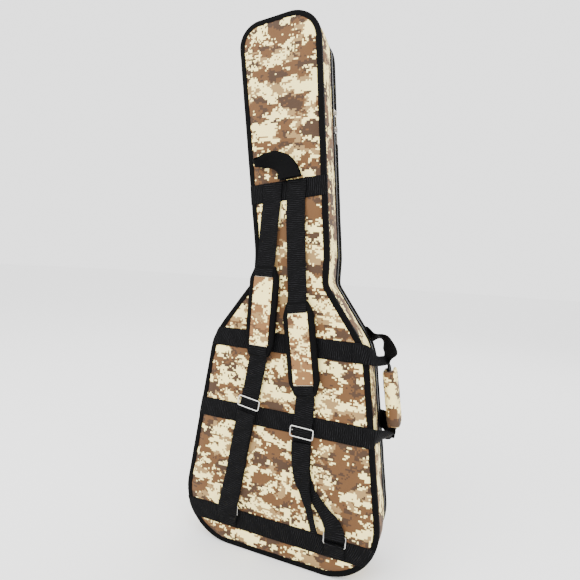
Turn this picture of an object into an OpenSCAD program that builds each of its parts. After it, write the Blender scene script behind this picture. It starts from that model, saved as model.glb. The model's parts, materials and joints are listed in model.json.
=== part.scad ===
// Padded gig bag, standing upright. +Z up, +X towards the carry handle, the
// strap side faces -Y and the zipped cover is on +Y. Millimetres.

/* [Outline] */
// Widest width of the body, across the binding
bout_w = 411; // [330:1:500]
// Height of the widest place
bout_z = 118; // [90:1:150]
// Corner radius at the foot of the body
foot_r = 105; // [80:1:115]
// Width where the shoulder lines meet the side lines
shoulder_w = 325; // [270:1:390]
// Height of the shoulder corners
shoulder_z = 436; // [400:1:480]
// Radius of the shoulder corners
shoulder_r = 150; // [60:1:180]
// Width of the neck where it meets the body
neck_w = 154; // [125:1:190]
// Height where the neck meets the body
neck_root_z = 556; // [540:1:580]
// Radius of the inside corner between neck and shoulder
neck_root_r = 24; // [16:1:60]
// Width of the head at the top
head_w = 173; // [150:1:210]
// Length of the neck and head above the bend
neck_len = 469; // [391:1:563]
// Height at which the soft neck leans over
bend_z = 611; // [600:1:640]
// Lean of the neck towards -X, in degrees
neck_tilt = 7.3; // [0:0.1:9]
// Corner radius of the head on the +X side
head_r_right = 60; // [30:1:70]
// Corner radius of the head on the -X side
head_r_left = 46; // [30:1:70]

/* [Thickness] */
// Depth from back binding to front binding
bag_d = 108; // [92:1:132]
// Distance from the middle of the bag to the line where the zip parts
zip_y = 28; // [24:1:30]
// Thickness of the outer fabric
fabric_t = 1.5; // [1:0.1:2]
// Thickness of the foam in the back and front
foam_t = 7.5; // [5:0.5:10]
// Thickness of the padded side wall
wall_t = 7.8; // [6:0.1:9]
// Thickness of the lining
lining_t = 1; // [0.8:0.1:1.5]
// Width of the binding on the face
binding_w = 11; // [8:0.5:14]
// Thickness of the binding round the edge
binding_t = 1.2; // [0.8:0.1:1.6]

/* [Webbing] */
// Width of the webbing
web_w = 38; // [32:1:46]
// Thickness of the bands sewn to the back
band_t = 2; // [1.5:0.1:2.4]
// Thickness of the strap webbing
web_t = 1.6; // [1.2:0.1:2]
// Distance of the neck band above the bend, along the neck
neck_band_up = 124; // [90:1:150]
// Height of the middle of the upper band
upper_band_z = 434; // [415:1:455]
// Height of the middle of the middle band
middle_band_z = 281; // [250:1:310]
// Height of the middle of the bottom band
bottom_band_z = 59; // [50:1:66]

/* [Shoulder straps] */
// Length of a shoulder pad
pad_len = 180; // [150:1:216]
// Width of a shoulder pad
pad_w = 62; // [56:1:70]
// Thickness of a shoulder pad
pad_t = 13; // [10:1:14]
// Diameter of the wire of rings and strap slides
wire_d = 3; // [2.4:0.1:3.4]
// Play of the webbing in its ring, along the strap
ring_play = 10.5; // [9.5:0.5:12]

/* [Carry handle] */
// Length of the padded grip
grip_len = 105; // [88:1:112]
// Gap for the fingers between the side wall and the grip
finger_gap = 21; // [15:1:30]
// Thickness of the grip's padding
grip_t = 7; // [5:0.5:8]

/* [Hang loop] */
// Length of the hanging loop
loop_len = 82; // [66:1:98]
// Inside gap of the hanging loop
loop_gap = 13; // [10:1:18]

/* [Zip] */
// Width of each zip tape
tape_w = 14; // [11:1:16]
// Width of one row of zip teeth
teeth_w = 3.2; // [2.6:0.1:4]
// Length of a zip slider
slider_len = 13; // [10:1:16]
// Length of a zip pull
pull_len = 30; // [22:1:36]
// Free length of side wall without a zip, where the cover turns
turn_len = 110; // [80:1:140]

/* [Pocket] */
// Height of the pocket's bottom edge
pocket_z0 = 34; // [30:1:60]
// Height of the pocket's top edge
pocket_z1 = 398; // [330:1:405]
// Depth of the pocket
pocket_d = 22; // [16:1:30]
// Distance of the pocket from the front binding
pocket_in = 3; // [1:1:12]

/* [Fits] */
// Gap between bodies that part at the zip
part_gap = 0.6; // [0.6:0.1:1]
// Gap between a sliding piece and what it slides on
slide_gap = 0.5; // [0.4:0.1:1]
// Space between the back and the straps that lie over it
strap_gap = 4; // [3:0.5:8]

/* [Hidden] */

CAMO = "tan";
BLACK = "#1b1b1c";
STEEL = "silver";
LINING = "dimgray";
CUT = 2000;

// Layers, measured from the middle of the bag's depth outwards
face_y = bag_d / 2;
panel_y = face_y - 1;
foam_y = panel_y - fabric_t;
lining_y = foam_y - foam_t;
inside_y = lining_y - lining_t;
wall_out = binding_t;
wall_in = wall_out + wall_t;
tape_out = wall_out + 1.3;
tape_in = tape_out + 1.4;
tape_start = zip_y - tape_w;
tape_end = zip_y + tape_w;
band_y = -face_y - band_t;
half_gap = part_gap / 2;

// ---- Outline of the bag, as corners with a radius, anticlockwise from +X foot

function unit(v) = v / norm(v);
// A point of the neck, u across and w up from the bend, leaned over
function leaned(u, w) = [
    u * cos(neck_tilt) - w * sin(neck_tilt),
    bend_z + u * sin(neck_tilt) + w * cos(neck_tilt)
];
function side_x(z) = shoulder_w / 2 + (bout_w - shoulder_w) / 2 * (shoulder_z - z) / (shoulder_z - bout_z);
foot_x = side_x(0);
head_flare = (head_w - neck_w) / 2 / neck_len;
function neck_half(w) = neck_w / 2 + head_flare * max(0, w);

bag_corners = [
    [foot_x, 0, foot_r], [shoulder_w / 2, shoulder_z, shoulder_r], [neck_w / 2, neck_root_z, neck_root_r],
    [neck_w / 2, bend_z, 200],
    concat(leaned(head_w / 2, neck_len), head_r_right), concat(leaned(-head_w / 2, neck_len), head_r_left),
    [-neck_w / 2, bend_z, 200],
    [-neck_w / 2, neck_root_z, neck_root_r], [-shoulder_w / 2, shoulder_z, shoulder_r], [-foot_x, 0, foot_r]
];

// Arc that rounds corner b between a and c, moved inwards by t
function arc(a, b, c, r, t) =
    let (
        back = unit(a - b), on = unit(c - b), half = acos(back * on) / 2,
        centre = b + unit(back + on) * r / sin(half),
        outer = cross(back, on) < 0,
        start = b + back * r / tan(half) - centre,
        stop = b + on * r / tan(half) - centre,
        a0 = atan2(start[1], start[0]),
        turn = (outer ? 1 : -1) * acos(max(-1, min(1, (start * stop) / (r * r)))),
        n = max(2, ceil(abs(turn) / 8)),
        rt = outer ? r - t : r + t
    )
    [for (k = [0:n]) centre + rt * [cos(a0 + turn * k / n), sin(a0 + turn * k / n)]];

function rounded(corners, t) =
    let (n = len(corners), p = [for (c = corners) [c[0], c[1]]])
    [for (i = [0:n - 1]) for (q = arc(p[(i + n - 1) % n], p[i], p[(i + 1) % n], corners[i][2], t)) q];

function outline(t) = rounded(bag_corners, t);

// ---- Ways of placing flat shapes

// Flat shape in x and z, given thickness from y0 to y1
module along_y(y0, y1) {
    translate([0, y1, 0]) rotate([90, 0, 0]) linear_extrude(y1 - y0) children();
}

// Flat shape in y and z, given thickness from x0 to x1
module along_x(x0, x1) {
    translate([x0, 0, 0]) rotate([90, 0, 90]) linear_extrude(x1 - x0) children();
}

module slab(y0, y1, t) {
    along_y(y0, y1) polygon(outline(t));
}

module ring(y0, y1, t0, t1) {
    along_y(y0, y1) difference() {
        polygon(outline(t0));
        polygon(outline(t1));
    }
}

// Places a piece in the leaning neck, with its origin at the bend
module in_neck() {
    translate([0, 0, bend_z]) rotate([0, -neck_tilt, 0]) children();
}

module box(low, high) {
    translate(low) cube(high - low);
}

// The stretch of side wall that has no zip, where the cover turns
module turning_stretch(y0, y1) {
    box([-CUT, y0, bout_z - turn_len / 2], [-shoulder_w / 2, y1, bout_z + turn_len / 2]);
}

// ---- Back half of the bag

module back_panel() {
    color(CAMO) slab(-panel_y, -foam_y, wall_out);
}

module back_foam() {
    color("white") slab(-foam_y, -lining_y, wall_out);
}

module back_lining() {
    color(LINING) {
        slab(-lining_y, -inside_y, wall_out);
        ring(-inside_y, zip_y - half_gap, wall_in, wall_in + lining_t);
    }
}

module edge_binding(y_face, y_panel, y_side) {
    ring(min(y_face, y_panel), max(y_face, y_panel), 0, binding_w);
    ring(min(y_panel, y_side), max(y_panel, y_side), 0, binding_t);
}

module back_binding() {
    color(BLACK) edge_binding(-face_y, -panel_y, -panel_y + binding_w);
}

module side_wall() {
    color(CAMO) {
        ring(-inside_y, tape_start, wall_out, wall_in);
        ring(-panel_y + binding_w + slide_gap, tape_start - slide_gap, 0, wall_in);
        ring(tape_start, zip_y - half_gap, tape_in, wall_in);
        intersection() {
            ring(tape_start, zip_y - half_gap, wall_out, wall_in);
            turning_stretch(tape_start, zip_y);
        }
    }
}

module zip_tape_back() {
    color(BLACK) difference() {
        ring(tape_start, zip_y - half_gap, tape_out, tape_in);
        turning_stretch(0, CUT);
    }
}

module zip_teeth_back() {
    color(BLACK) difference() {
        ring(zip_y - half_gap - teeth_w, zip_y - half_gap, binding_t - 0.8, tape_out);
        turning_stretch(0, CUT);
    }
}

// ---- Bands sewn across the back

module level_band(z) {
    color(BLACK) along_y(band_y, -face_y) intersection() {
        polygon(outline(0));
        translate([-CUT / 2, z - web_w / 2]) square([CUT, web_w]);
    }
}

module neck_band_shape() {
    intersection() {
        polygon(outline(0));
        translate([0, bend_z]) rotate(neck_tilt) translate([-CUT / 2, neck_band_up - web_w / 2])
            square([CUT, web_w]);
    }
}

module neck_band() {
    color(BLACK) along_y(band_y, -face_y) neck_band_shape();
}

module upper_band() {
    level_band(upper_band_z);
}

module middle_band() {
    level_band(middle_band_z);
}

module bottom_band() {
    level_band(bottom_band_z);
}

// ---- Shoulder straps: [left, right] places of the middle of each strap, as [x, z]

strap_top_x = [-45, 5];
pad_top = [[-47, 585], [23, 520]];
pad_foot_x = [-51, 52];
slide_at = [[-66, 308], [49, 270]];
knee_at = [[-88, 166], [58, 178]];
ring_x = [-100, 126];
ring_z = bottom_band_z + web_w / 2 + 12;
bar_r = wire_d / 2;
ring_pitch = ring_play + web_t * 2 + 4.9 + wire_d;
slack_y = 1;

// Where the straps lie, measured in y
ring_y = band_y - 1 - web_t - slack_y - bar_r;
tail_back_y = ring_y + bar_r + slack_y;
tail_front_y = ring_y - bar_r - slack_y - web_t;
web_y = band_y - strap_gap - web_t - 2;
pad_y = band_y - strap_gap / 2;

function pad_foot(s) = [pad_foot_x[s], pad_top[s][1] - pad_len];
// Height of the neck band's lower edge above a given x
function band_edge_z(x) = bend_z + (x + (neck_band_up - web_w / 2) * sin(neck_tilt)) * tan(neck_tilt)
    + (neck_band_up - web_w / 2) * cos(neck_tilt);
function strap_hinge_z(s) = band_edge_z(strap_top_x[s] - web_w / 2) - 1;

// Flat webbing through a list of middle points, cut level at each
function ribbon(points) = concat(
    [for (p = points) [p[0] - web_w / 2, p[1]]],
    [for (i = [len(points) - 1:-1:0]) [points[i][0] + web_w / 2, points[i][1]]]
);
// x of a strap's middle at height z, on the line from a to b
function on_line(a, b, z) = [a[0] + (b[0] - a[0]) * (z - a[1]) / (b[1] - a[1]), z];

module strap_end(s) {
    color(BLACK) along_y(band_y - 2 * web_t, band_y) intersection() {
        neck_band_shape();
        translate([strap_top_x[s] - web_w / 2, 0]) square([web_w, CUT]);
    }
}

module strap_top(s) {
    z0 = strap_hinge_z(s);
    start = [strap_top_x[s], z0];
    low = on_line(start, pad_top[s], z0 - 30);
    color(BLACK) {
        along_y(web_y, web_y + web_t) difference() {
            polygon(ribbon([low, on_line(start, pad_top[s], pad_top[s][1] - 5)]));
            polygon(rounded(pad_corners(s), 0));
        }
        along_x(strap_top_x[s] - web_w / 2, strap_top_x[s] + web_w / 2) polygon([
            [band_y - web_t, z0], [band_y - 2 * web_t, z0],
            [web_y, z0 - 30], [web_y, z0 - 32], [web_y + web_t, z0 - 32], [web_y + web_t, z0 - 30]
        ]);
    }
}

// Corners of a shoulder pad that tapers to the webbing at both ends
function pad_corners(s) =
    let (
        t = pad_top[s], f = pad_foot(s), down = unit(f - t), across = [-down[1], down[0]],
        wide = pad_w / 2, slim = web_w / 2 + 2, taper = 26
    )
    [
        concat(f + across * slim, 5), concat(f - down * taper + across * wide, 14),
        concat(t + down * taper + across * wide, 14), concat(t + across * slim, 5),
        concat(t - across * slim, 5), concat(t + down * taper - across * wide, 14),
        concat(f - down * taper - across * wide, 14), concat(f - across * slim, 5)
    ];

module shoulder_pad(s) {
    color(CAMO) along_y(pad_y - pad_t + 1, pad_y - 1) polygon(rounded(pad_corners(s), binding_t));
}

module pad_binding(s) {
    color(BLACK) {
        for (y = [pad_y - pad_t, pad_y - 1]) along_y(y, y + 1) difference() {
            polygon(rounded(pad_corners(s), 0));
            polygon([for (p = rounded(pad_corners(s), 0)) pad_face(s, p)]);
        }
        along_y(pad_y - pad_t + 1, pad_y - 1) difference() {
            polygon(rounded(pad_corners(s), 0));
            polygon(rounded(pad_corners(s), binding_t));
        }
    }
}

// The pad's bare face: its outline drawn in towards its middle by the binding's width
function pad_face(s, p) =
    let (
        t = pad_top[s], f = pad_foot(s), down = unit(f - t), across = [-down[1], down[0]], m = (t + f) / 2,
        a = (p - m) * across, d = (p - m) * down
    )
    m + across * a * (pad_w / 2 - binding_w + 1) / (pad_w / 2)
        + down * d * (pad_len / 2 - binding_w) / (pad_len / 2);

module strap_mid(s) {
    stop = on_line(pad_foot(s), slide_at[s], slide_at[s][1] - 12);
    color(BLACK) along_y(web_y, web_y + web_t) difference() {
        polygon(ribbon([on_line(pad_foot(s), slide_at[s], pad_foot(s)[1] + 5), stop]));
        polygon(rounded(pad_corners(s), 0));
    }
}

module strap_tail(s) {
    lean_drop = (frame_w + 4) / 2 * abs(strap_dir(s)[0] / strap_dir(s)[1]);
    start = on_line(slide_at[s], knee_at[s], slide_at[s][1] - 12 - slide_gap - lean_drop);
    ring_top = [ring_x[s], ring_z + 20];
    fold_z = ring_z - bar_r - ring_play;
    fold = [ring_x[s], fold_z - web_t];
    route = [start, knee_at[s], ring_top, fold];
    color(BLACK) {
        along_y(tail_front_y, tail_front_y + web_t) polygon(ribbon(route));
        along_y(tail_back_y, tail_back_y + web_t) polygon(ribbon(route));
        along_y(tail_front_y, tail_back_y + web_t) polygon(ribbon([[ring_x[s], fold_z], fold]));
    }
}

// Closed wire frame, w by h between wire centres, lying in x and z
module wire_frame(w, h) {
    for (z = [-h / 2, h / 2]) translate([-w / 2, 0, z]) rotate([0, 90, 0]) cylinder(h = w, d = wire_d, $fn = 24);
    for (x = [-w / 2, w / 2]) translate([x, 0, -h / 2]) cylinder(h = h, d = wire_d, $fn = 24);
    for (x = [-w / 2, w / 2]) for (z = [-h / 2, h / 2]) translate([x, 0, z]) sphere(d = wire_d, $fn = 24);
}

frame_w = web_w + wire_d + 2 * slide_gap + 1;

module strap_ring(s) {
    color(STEEL) translate([ring_x[s], ring_y, ring_z - ring_pitch / 2]) wire_frame(frame_w, ring_pitch);
}

module ring_tab(s) {
    bar_z = ring_z - ring_pitch;
    sleeve_r = bar_r + slide_gap + web_t;
    color(BLACK) difference() {
        union() {
            translate([ring_x[s] - web_w / 2, ring_y, bar_z]) rotate([0, 90, 0])
                cylinder(h = web_w, r = sleeve_r, $fn = 32);
            box([ring_x[s] - web_w / 2, band_y - web_t, bottom_band_z - web_w / 2 + 4],
                [ring_x[s] + web_w / 2, band_y, bar_z + 2]);
            box([ring_x[s] - web_w / 2, ring_y, bar_z - sleeve_r],
                [ring_x[s] + web_w / 2, band_y - web_t, bar_z - bar_r - slide_gap]);
        }
        translate([ring_x[s] - web_w, ring_y, bar_z]) rotate([0, 90, 0])
            cylinder(h = 2 * web_w, r = bar_r + slide_gap, $fn = 32);
    }
}

slide_h = 20;

function strap_dir(s) = unit(pad_foot(s) - slide_at[s]);

// Strap slide: its frame in front of the webbing, its middle bar behind
module strap_slide(s) {
    front_y = web_y - bar_r - slide_gap;
    back_y = web_y + web_t + bar_r + slide_gap;
    side = frame_w + 4;
    lean = atan2(strap_dir(s)[0], strap_dir(s)[1]);
    color(STEEL) translate([slide_at[s][0], 0, slide_at[s][1]]) rotate([0, lean, 0]) {
        translate([0, front_y, 0]) wire_frame(side, slide_h);
        translate([-side / 2, back_y, 0]) rotate([0, 90, 0]) cylinder(h = side, d = wire_d, $fn = 24);
        for (x = [-side / 2, side / 2]) translate([x, back_y, 0]) {
            sphere(d = wire_d, $fn = 24);
            rotate([90, 0, 0]) cylinder(h = back_y - front_y, d = wire_d, $fn = 24);
        }
    }
}

// ---- Carry handle

grip_y = 0;
grip_low_z = (upper_band_z + middle_band_z) / 2 - 8 - grip_len / 2;
grip_mid_z = grip_low_z + grip_len / 2;
grip_lean = atan2((bout_w - shoulder_w) / 2, shoulder_z - bout_z) + 1.5;
near_x = -web_t - 0.6;
far_x = 0.6;
grip_in = near_x - slide_gap;
grip_out = far_x + web_t + 3.4;
grip_mid_x = side_x(grip_mid_z) + finger_gap + grip_t - grip_in;
leg_out = 18;
grip_half_y = web_w / 2 + 1;

// Places a piece on the grip's own axis
module at_grip() {
    translate([grip_mid_x, grip_y, grip_mid_z]) rotate([0, -grip_lean, 0]) children();
}

// Thin plate of webbing in the grip, at x from x0
module grip_web(x0, y0, y1, z0, z1) {
    at_grip() box([x0, y0, z0], [x0 + web_t, y1, z1]);
}

edge_gap = 2.5;

// Webbing from an edge of the bag to the end of the grip: flat past the edge, then across to
// the grip's webbing, which it is let into
module leg(x_edge, y_edge, z_edge, x0, z0, z1) {
    let_in = 0.2;
    x_out = side_x(z_edge - web_w / 2) + edge_gap;
    translate([x_edge, y_edge - web_t / 2, z_edge - web_w / 2]) cube([x_out + 1 - x_edge, web_t, web_w]);
    hull() {
        translate([x_out, y_edge - web_t / 2 + let_in, z_edge - web_w / 2 + let_in])
            cube([1 - let_in, web_t - 2 * let_in, web_w - 2 * let_in]);
        at_grip() box([x0 + let_in, min(-let_in, y_edge / 3.2) + (y_edge > 0 ? 2 * let_in : 0), z0 + let_in],
            [x0 + web_t - let_in, max(let_in, y_edge / 3.2) - (y_edge < 0 ? 2 * let_in : 0), z1 - let_in]);
    }
}

// Past the grip the webbing is folded to its own half of the width, so the two loops pass
module handle_half(y_edge, z_high, x_high, z_low, x0) {
    end = grip_len / 2;
    top = end + leg_out;
    near = y_edge < 0 ? -web_w / 2 : 0.1;
    far = y_edge < 0 ? -0.1 : web_w / 2;
    grip_web(x0, -web_w / 2, web_w / 2, -end, end);
    grip_web(x0, near, far, -top, top);
    leg(x_high, y_edge, z_high, x0, top - 3, top);
    leg(side_x(z_low) - 4, y_edge, z_low, x0, -top, 3 - top);
}

module handle_loop_back() {
    edge_y = band_y - web_t / 2;
    color(BLACK) handle_half(edge_y, upper_band_z, side_x(upper_band_z) - 14, middle_band_z, near_x);
}

front_band_z = upper_band_z + 20;
front_low_z = middle_band_z + 4;

module handle_loop_front() {
    edge_y = face_y + band_t + web_t / 2;
    color(BLACK) handle_half(edge_y, front_band_z, side_x(front_band_z) - 27, front_low_z, far_x);
}

grip_back_y = -grip_half_y - grip_t;
flap_y = 3;

// Cross-section of the padded grip: open towards +Y, where the front loop leaves
module grip_wrap() {
    wrap = [
        [grip_out + grip_t, grip_back_y, 8], [grip_out + grip_t, flap_y, 2.5], [grip_out, flap_y, 2.5],
        [grip_out, -grip_half_y, 2], [grip_in, -grip_half_y, 2],
        [grip_in, grip_half_y, 2.5], [grip_in - grip_t, grip_half_y, 2.5], [grip_in - grip_t, grip_back_y, 8]
    ];
    color(CAMO) at_grip() translate([0, 0, -grip_len / 2]) linear_extrude(grip_len) polygon(rounded(wrap, 0));
}

module grip_flap() {
    flap = [
        [grip_out + grip_t, flap_y + slide_gap, 2.5], [grip_out + grip_t, grip_half_y + 4, 2.5],
        [grip_out + 1, grip_half_y + 4, 2], [grip_out + 1, flap_y + slide_gap, 2]
    ];
    color(CAMO) at_grip() translate([0, 0, -grip_len / 2]) linear_extrude(grip_len) polygon(rounded(flap, 0));
}

// ---- Hanging loop, sewn in above the neck band

loop_foot_u = 6;
loop_rise = 2.5;
loop_angle = 143;
loop_r = loop_gap / 2;
loop_y = band_y - 2 - web_t - loop_r;

module hang_loop() {
    foot_w = neck_band_up + web_w / 2 + slide_gap + loop_rise;
    color(BLACK) in_neck() difference() {
        translate([loop_foot_u, loop_y, foot_w]) rotate([0, 90 - loop_angle + neck_tilt, 0])
            translate([-web_w / 2, 0, 0]) {
            for (y = [-loop_r - web_t, loop_r]) translate([0, y, -web_w])
                cube([web_w, web_t, loop_len + web_w - loop_r]);
            translate([0, 0, loop_len - loop_r]) rotate([0, 90, 0]) difference() {
                cylinder(h = web_w, r = loop_r + web_t, $fn = 48);
                translate([0, 0, -1]) cylinder(h = web_w + 2, r = loop_r, $fn = 48);
                translate([0, -CUT / 2, -1]) cube([CUT, CUT, web_w + 2]);
            }
        }
        box([-CUT, -CUT, -CUT], [CUT, CUT, foot_w]);
    }
}

// ---- Front half of the bag, which opens as the cover

module front_panel() {
    color(CAMO) slab(foam_y, panel_y, wall_out);
}

module front_foam() {
    color("white") slab(lining_y, foam_y, wall_out);
}

module front_lining() {
    color(LINING) {
        slab(inside_y, lining_y, wall_out);
        ring(zip_y + half_gap, inside_y, wall_in, wall_in + lining_t);
    }
}

module front_binding() {
    color(BLACK) edge_binding(face_y, panel_y, panel_y - binding_w);
}

module front_rim() {
    color(CAMO) {
        ring(zip_y + half_gap, inside_y, tape_in, wall_in);
        intersection() {
            ring(zip_y + half_gap, inside_y, wall_out, wall_in);
            turning_stretch(zip_y, CUT);
        }
    }
}

module zip_tape_front() {
    color(BLACK) difference() {
        ring(zip_y + half_gap, min(tape_end, inside_y), tape_out, tape_in);
        turning_stretch(0, CUT);
    }
}

module zip_teeth_front() {
    color(BLACK) difference() {
        ring(zip_y + half_gap, zip_y + half_gap + teeth_w, binding_t - 0.8, tape_out);
        turning_stretch(0, CUT);
    }
}

module front_band() {
    color(BLACK) {
        along_y(face_y, face_y + band_t) intersection() {
            polygon(outline(0));
            translate([-CUT / 2, front_band_z - web_w / 2]) square([CUT, web_w]);
        }
            along_y(face_y, face_y + band_t) intersection() {
            polygon(outline(0));
            translate([side_x(front_low_z) - binding_w, front_low_z - web_w / 2]) square([binding_w, web_w]);
        }
    }
}

// ---- Pocket on the front

pocket_y = panel_y;
pocket_edge = binding_w + pocket_in;
pocket_face_y = pocket_y + pocket_d;
pocket_corners = [
    [side_x(pocket_z0) - pocket_edge, pocket_z0, foot_r - 20], [side_x(pocket_z1) - pocket_edge, pocket_z1, 24],
    [-side_x(pocket_z1) + pocket_edge, pocket_z1, 24], [-side_x(pocket_z0) + pocket_edge, pocket_z0, foot_r - 20]
];

module pocket_ring(y0, y1, t0, t1) {
    along_y(y0, y1) difference() {
        polygon(rounded(pocket_corners, t0));
        polygon(rounded(pocket_corners, t1));
    }
}

module pocket_wall() {
    color(CAMO) pocket_ring(pocket_y, pocket_face_y, 0, 3);
}

module pocket_teeth_wall() {
    color(BLACK) pocket_ring(pocket_face_y - teeth_w, pocket_face_y, -pocket_teeth_h, 0);
}

module pocket_teeth_panel() {
    y = pocket_face_y + part_gap;
    color(BLACK) pocket_ring(y, y + teeth_w, -pocket_teeth_h, 0);
}

module pocket_panel() {
    color(CAMO) along_y(pocket_face_y + part_gap, pocket_face_y + part_gap + 3) polygon(rounded(pocket_corners, 1));
}

module pocket_binding() {
    y = pocket_face_y + part_gap;
    color(BLACK) {
        pocket_ring(y + 3, y + 4, 0, binding_w - 2);
        pocket_ring(y, y + 3, 0, 1);
    }
}

// ---- Zip sliders and pulls, on the +X side of the neck and on the pocket

upper_slider_w = 290;
lower_slider_w = 255;
side_lean = neck_tilt - atan(head_flare);
slider_t = 1.4;

// Places a piece on the neck's +X side, at distance w above the bend
module at_slider(w) {
    p = leaned(neck_half(w), w);
    translate([p[0], zip_y, p[1]]) rotate([0, -side_lean, 0]) children();
}

// Outer plate of a slider with the ears and pin that hold its pull
module slider_body(lift) {
    box([lift, -5, -slider_len / 2], [lift + slider_t, 4.5, slider_len / 2]);
    for (y = [-3.6, 1.8]) translate([0, y, 0])
        box([lift + slider_t, 0, -2.4], [lift + slider_t + 4, 1.8, 2.4]);
    translate([lift + slider_t + 2.6, 0, 0]) rotate([90, 0, 0]) cylinder(h = 5.6, r = 1, center = true, $fn = 24);
}

// A pull hangs down from its slider
module pull_body(lift) {
    translate([lift + slider_t + 2.6, 0, 0]) difference() {
        union() {
            rotate([90, 0, 0]) cylinder(h = 3, r = 2.2, center = true, $fn = 32);
            box([-0.7, -1.5, -8], [0.7, 1.5, -1.2]);
            box([-0.7, -3.2, -pull_len], [0.7, 3.2, -7]);
        }
        rotate([90, 0, 0]) cylinder(h = 8, r = 1.05, center = true, $fn = 32);
        translate([0, 0, 5 - pull_len]) rotate([0, 90, 0]) cylinder(h = 8, r = 1.6, center = true, $fn = 32);
    }
}

module zip_slider(w) {
    color(STEEL) at_slider(w) {
        slider_body(0.2);
        box([-1.6, -5, -slider_len / 2], [1, -teeth_w - half_gap - slide_gap, slider_len / 2]);
    }
}

module zip_pull(w) {
    color(STEEL) at_slider(w) pull_body(0.2);
}

pocket_slider_z = 340;
pocket_teeth_h = 1.4;
side_slope = atan((bout_w - shoulder_w) / 2 / (shoulder_z - bout_z));

// Places a piece on the pocket's -X side
module at_pocket_slider() {
    mirror([1, 0, 0])
        translate([side_x(pocket_slider_z) - pocket_edge, pocket_face_y + half_gap, pocket_slider_z])
        rotate([0, -side_slope, 0]) children();
}

module pocket_slider() {
    color(STEEL) at_pocket_slider() slider_body(pocket_teeth_h + 0.4);
}

module pocket_pull() {
    color(STEEL) at_pocket_slider() pull_body(pocket_teeth_h + 0.4);
}

back_panel();
back_foam();
back_lining();
back_binding();
side_wall();
zip_tape_back();
zip_teeth_back();
neck_band();
upper_band();
middle_band();
bottom_band();
handle_loop_back();
strap_end(0);  // strap_end_left
strap_end(1);  // strap_end_right
ring_tab(0);  // ring_tab_left
ring_tab(1);  // ring_tab_right
strap_ring(0);  // ring_left
strap_ring(1);  // ring_right
front_panel();
front_foam();
front_lining();
front_binding();
front_rim();
zip_tape_front();
zip_teeth_front();
front_band();
handle_loop_front();
pocket_wall();
pocket_teeth_wall();
pocket_teeth_panel();
pocket_panel();
pocket_binding();
strap_top(0);  // strap_top_left
shoulder_pad(0);  // pad_left
pad_binding(0);  // pad_binding_left
strap_mid(0);  // strap_mid_left
strap_slide(0);  // strap_slide_left
strap_tail(0);  // strap_tail_left
strap_top(1);  // strap_top_right
shoulder_pad(1);  // pad_right
pad_binding(1);  // pad_binding_right
strap_mid(1);  // strap_mid_right
strap_slide(1);  // strap_slide_right
strap_tail(1);  // strap_tail_right
hang_loop();
grip_wrap();
grip_flap();
zip_slider(upper_slider_w);  // zip_slider_upper
zip_pull(upper_slider_w);  // zip_pull_upper
zip_slider(lower_slider_w);  // zip_slider_lower
zip_pull(lower_slider_w);  // zip_pull_lower
pocket_slider();
pocket_pull();
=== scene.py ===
"""Padded gig bag: fabric, webbing, binding, zips and metal over the CAD frame.

+Z is up the bag, +X the side of the carry handle, -Y the side of the shoulder straps. Metres.
"""
import json
import logging
import math
from dataclasses import dataclass, field
from enum import Enum
from typing import Callable, ClassVar, Optional, Sequence

import bmesh
import bpy
import numpy as np
from mathutils import Matrix, Vector, noise
from mathutils.bvhtree import BVHTree

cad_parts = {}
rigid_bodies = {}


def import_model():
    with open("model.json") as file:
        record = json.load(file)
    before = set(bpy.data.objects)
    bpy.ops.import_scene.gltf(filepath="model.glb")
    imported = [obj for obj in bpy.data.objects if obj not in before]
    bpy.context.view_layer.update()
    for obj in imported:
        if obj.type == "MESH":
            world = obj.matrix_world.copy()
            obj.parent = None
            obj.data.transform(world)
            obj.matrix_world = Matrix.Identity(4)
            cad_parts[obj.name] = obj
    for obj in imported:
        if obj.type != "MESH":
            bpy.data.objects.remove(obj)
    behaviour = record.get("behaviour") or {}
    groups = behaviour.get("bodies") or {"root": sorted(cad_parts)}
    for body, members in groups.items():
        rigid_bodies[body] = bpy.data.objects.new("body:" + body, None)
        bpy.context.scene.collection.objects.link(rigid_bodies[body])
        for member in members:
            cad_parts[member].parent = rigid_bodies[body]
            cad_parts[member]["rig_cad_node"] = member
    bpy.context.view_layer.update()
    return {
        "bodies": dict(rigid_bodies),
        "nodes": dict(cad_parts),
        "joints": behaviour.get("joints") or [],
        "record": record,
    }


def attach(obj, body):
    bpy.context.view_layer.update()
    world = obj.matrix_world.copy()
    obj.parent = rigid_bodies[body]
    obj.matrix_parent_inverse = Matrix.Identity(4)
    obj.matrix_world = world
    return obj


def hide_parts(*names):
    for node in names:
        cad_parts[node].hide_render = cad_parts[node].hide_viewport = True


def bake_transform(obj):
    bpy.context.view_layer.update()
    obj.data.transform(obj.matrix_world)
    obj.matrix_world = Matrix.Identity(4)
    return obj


LOG = logging.getLogger("gig_bag")
MM = 0.001
BAND_Y = 55.6
RING_Y = -61.1


class Slot(Enum):
    """Material slots of the record."""

    CAMO = "camo"
    LINING = "lining"
    BINDING = "binding"
    WEBBING = "webbing"
    ZIP_TAPE = "zip_tape"
    ZIP_TEETH = "zip_teeth"
    WIRE = "wire"
    ZIP_METAL = "zip_metal"


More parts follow.
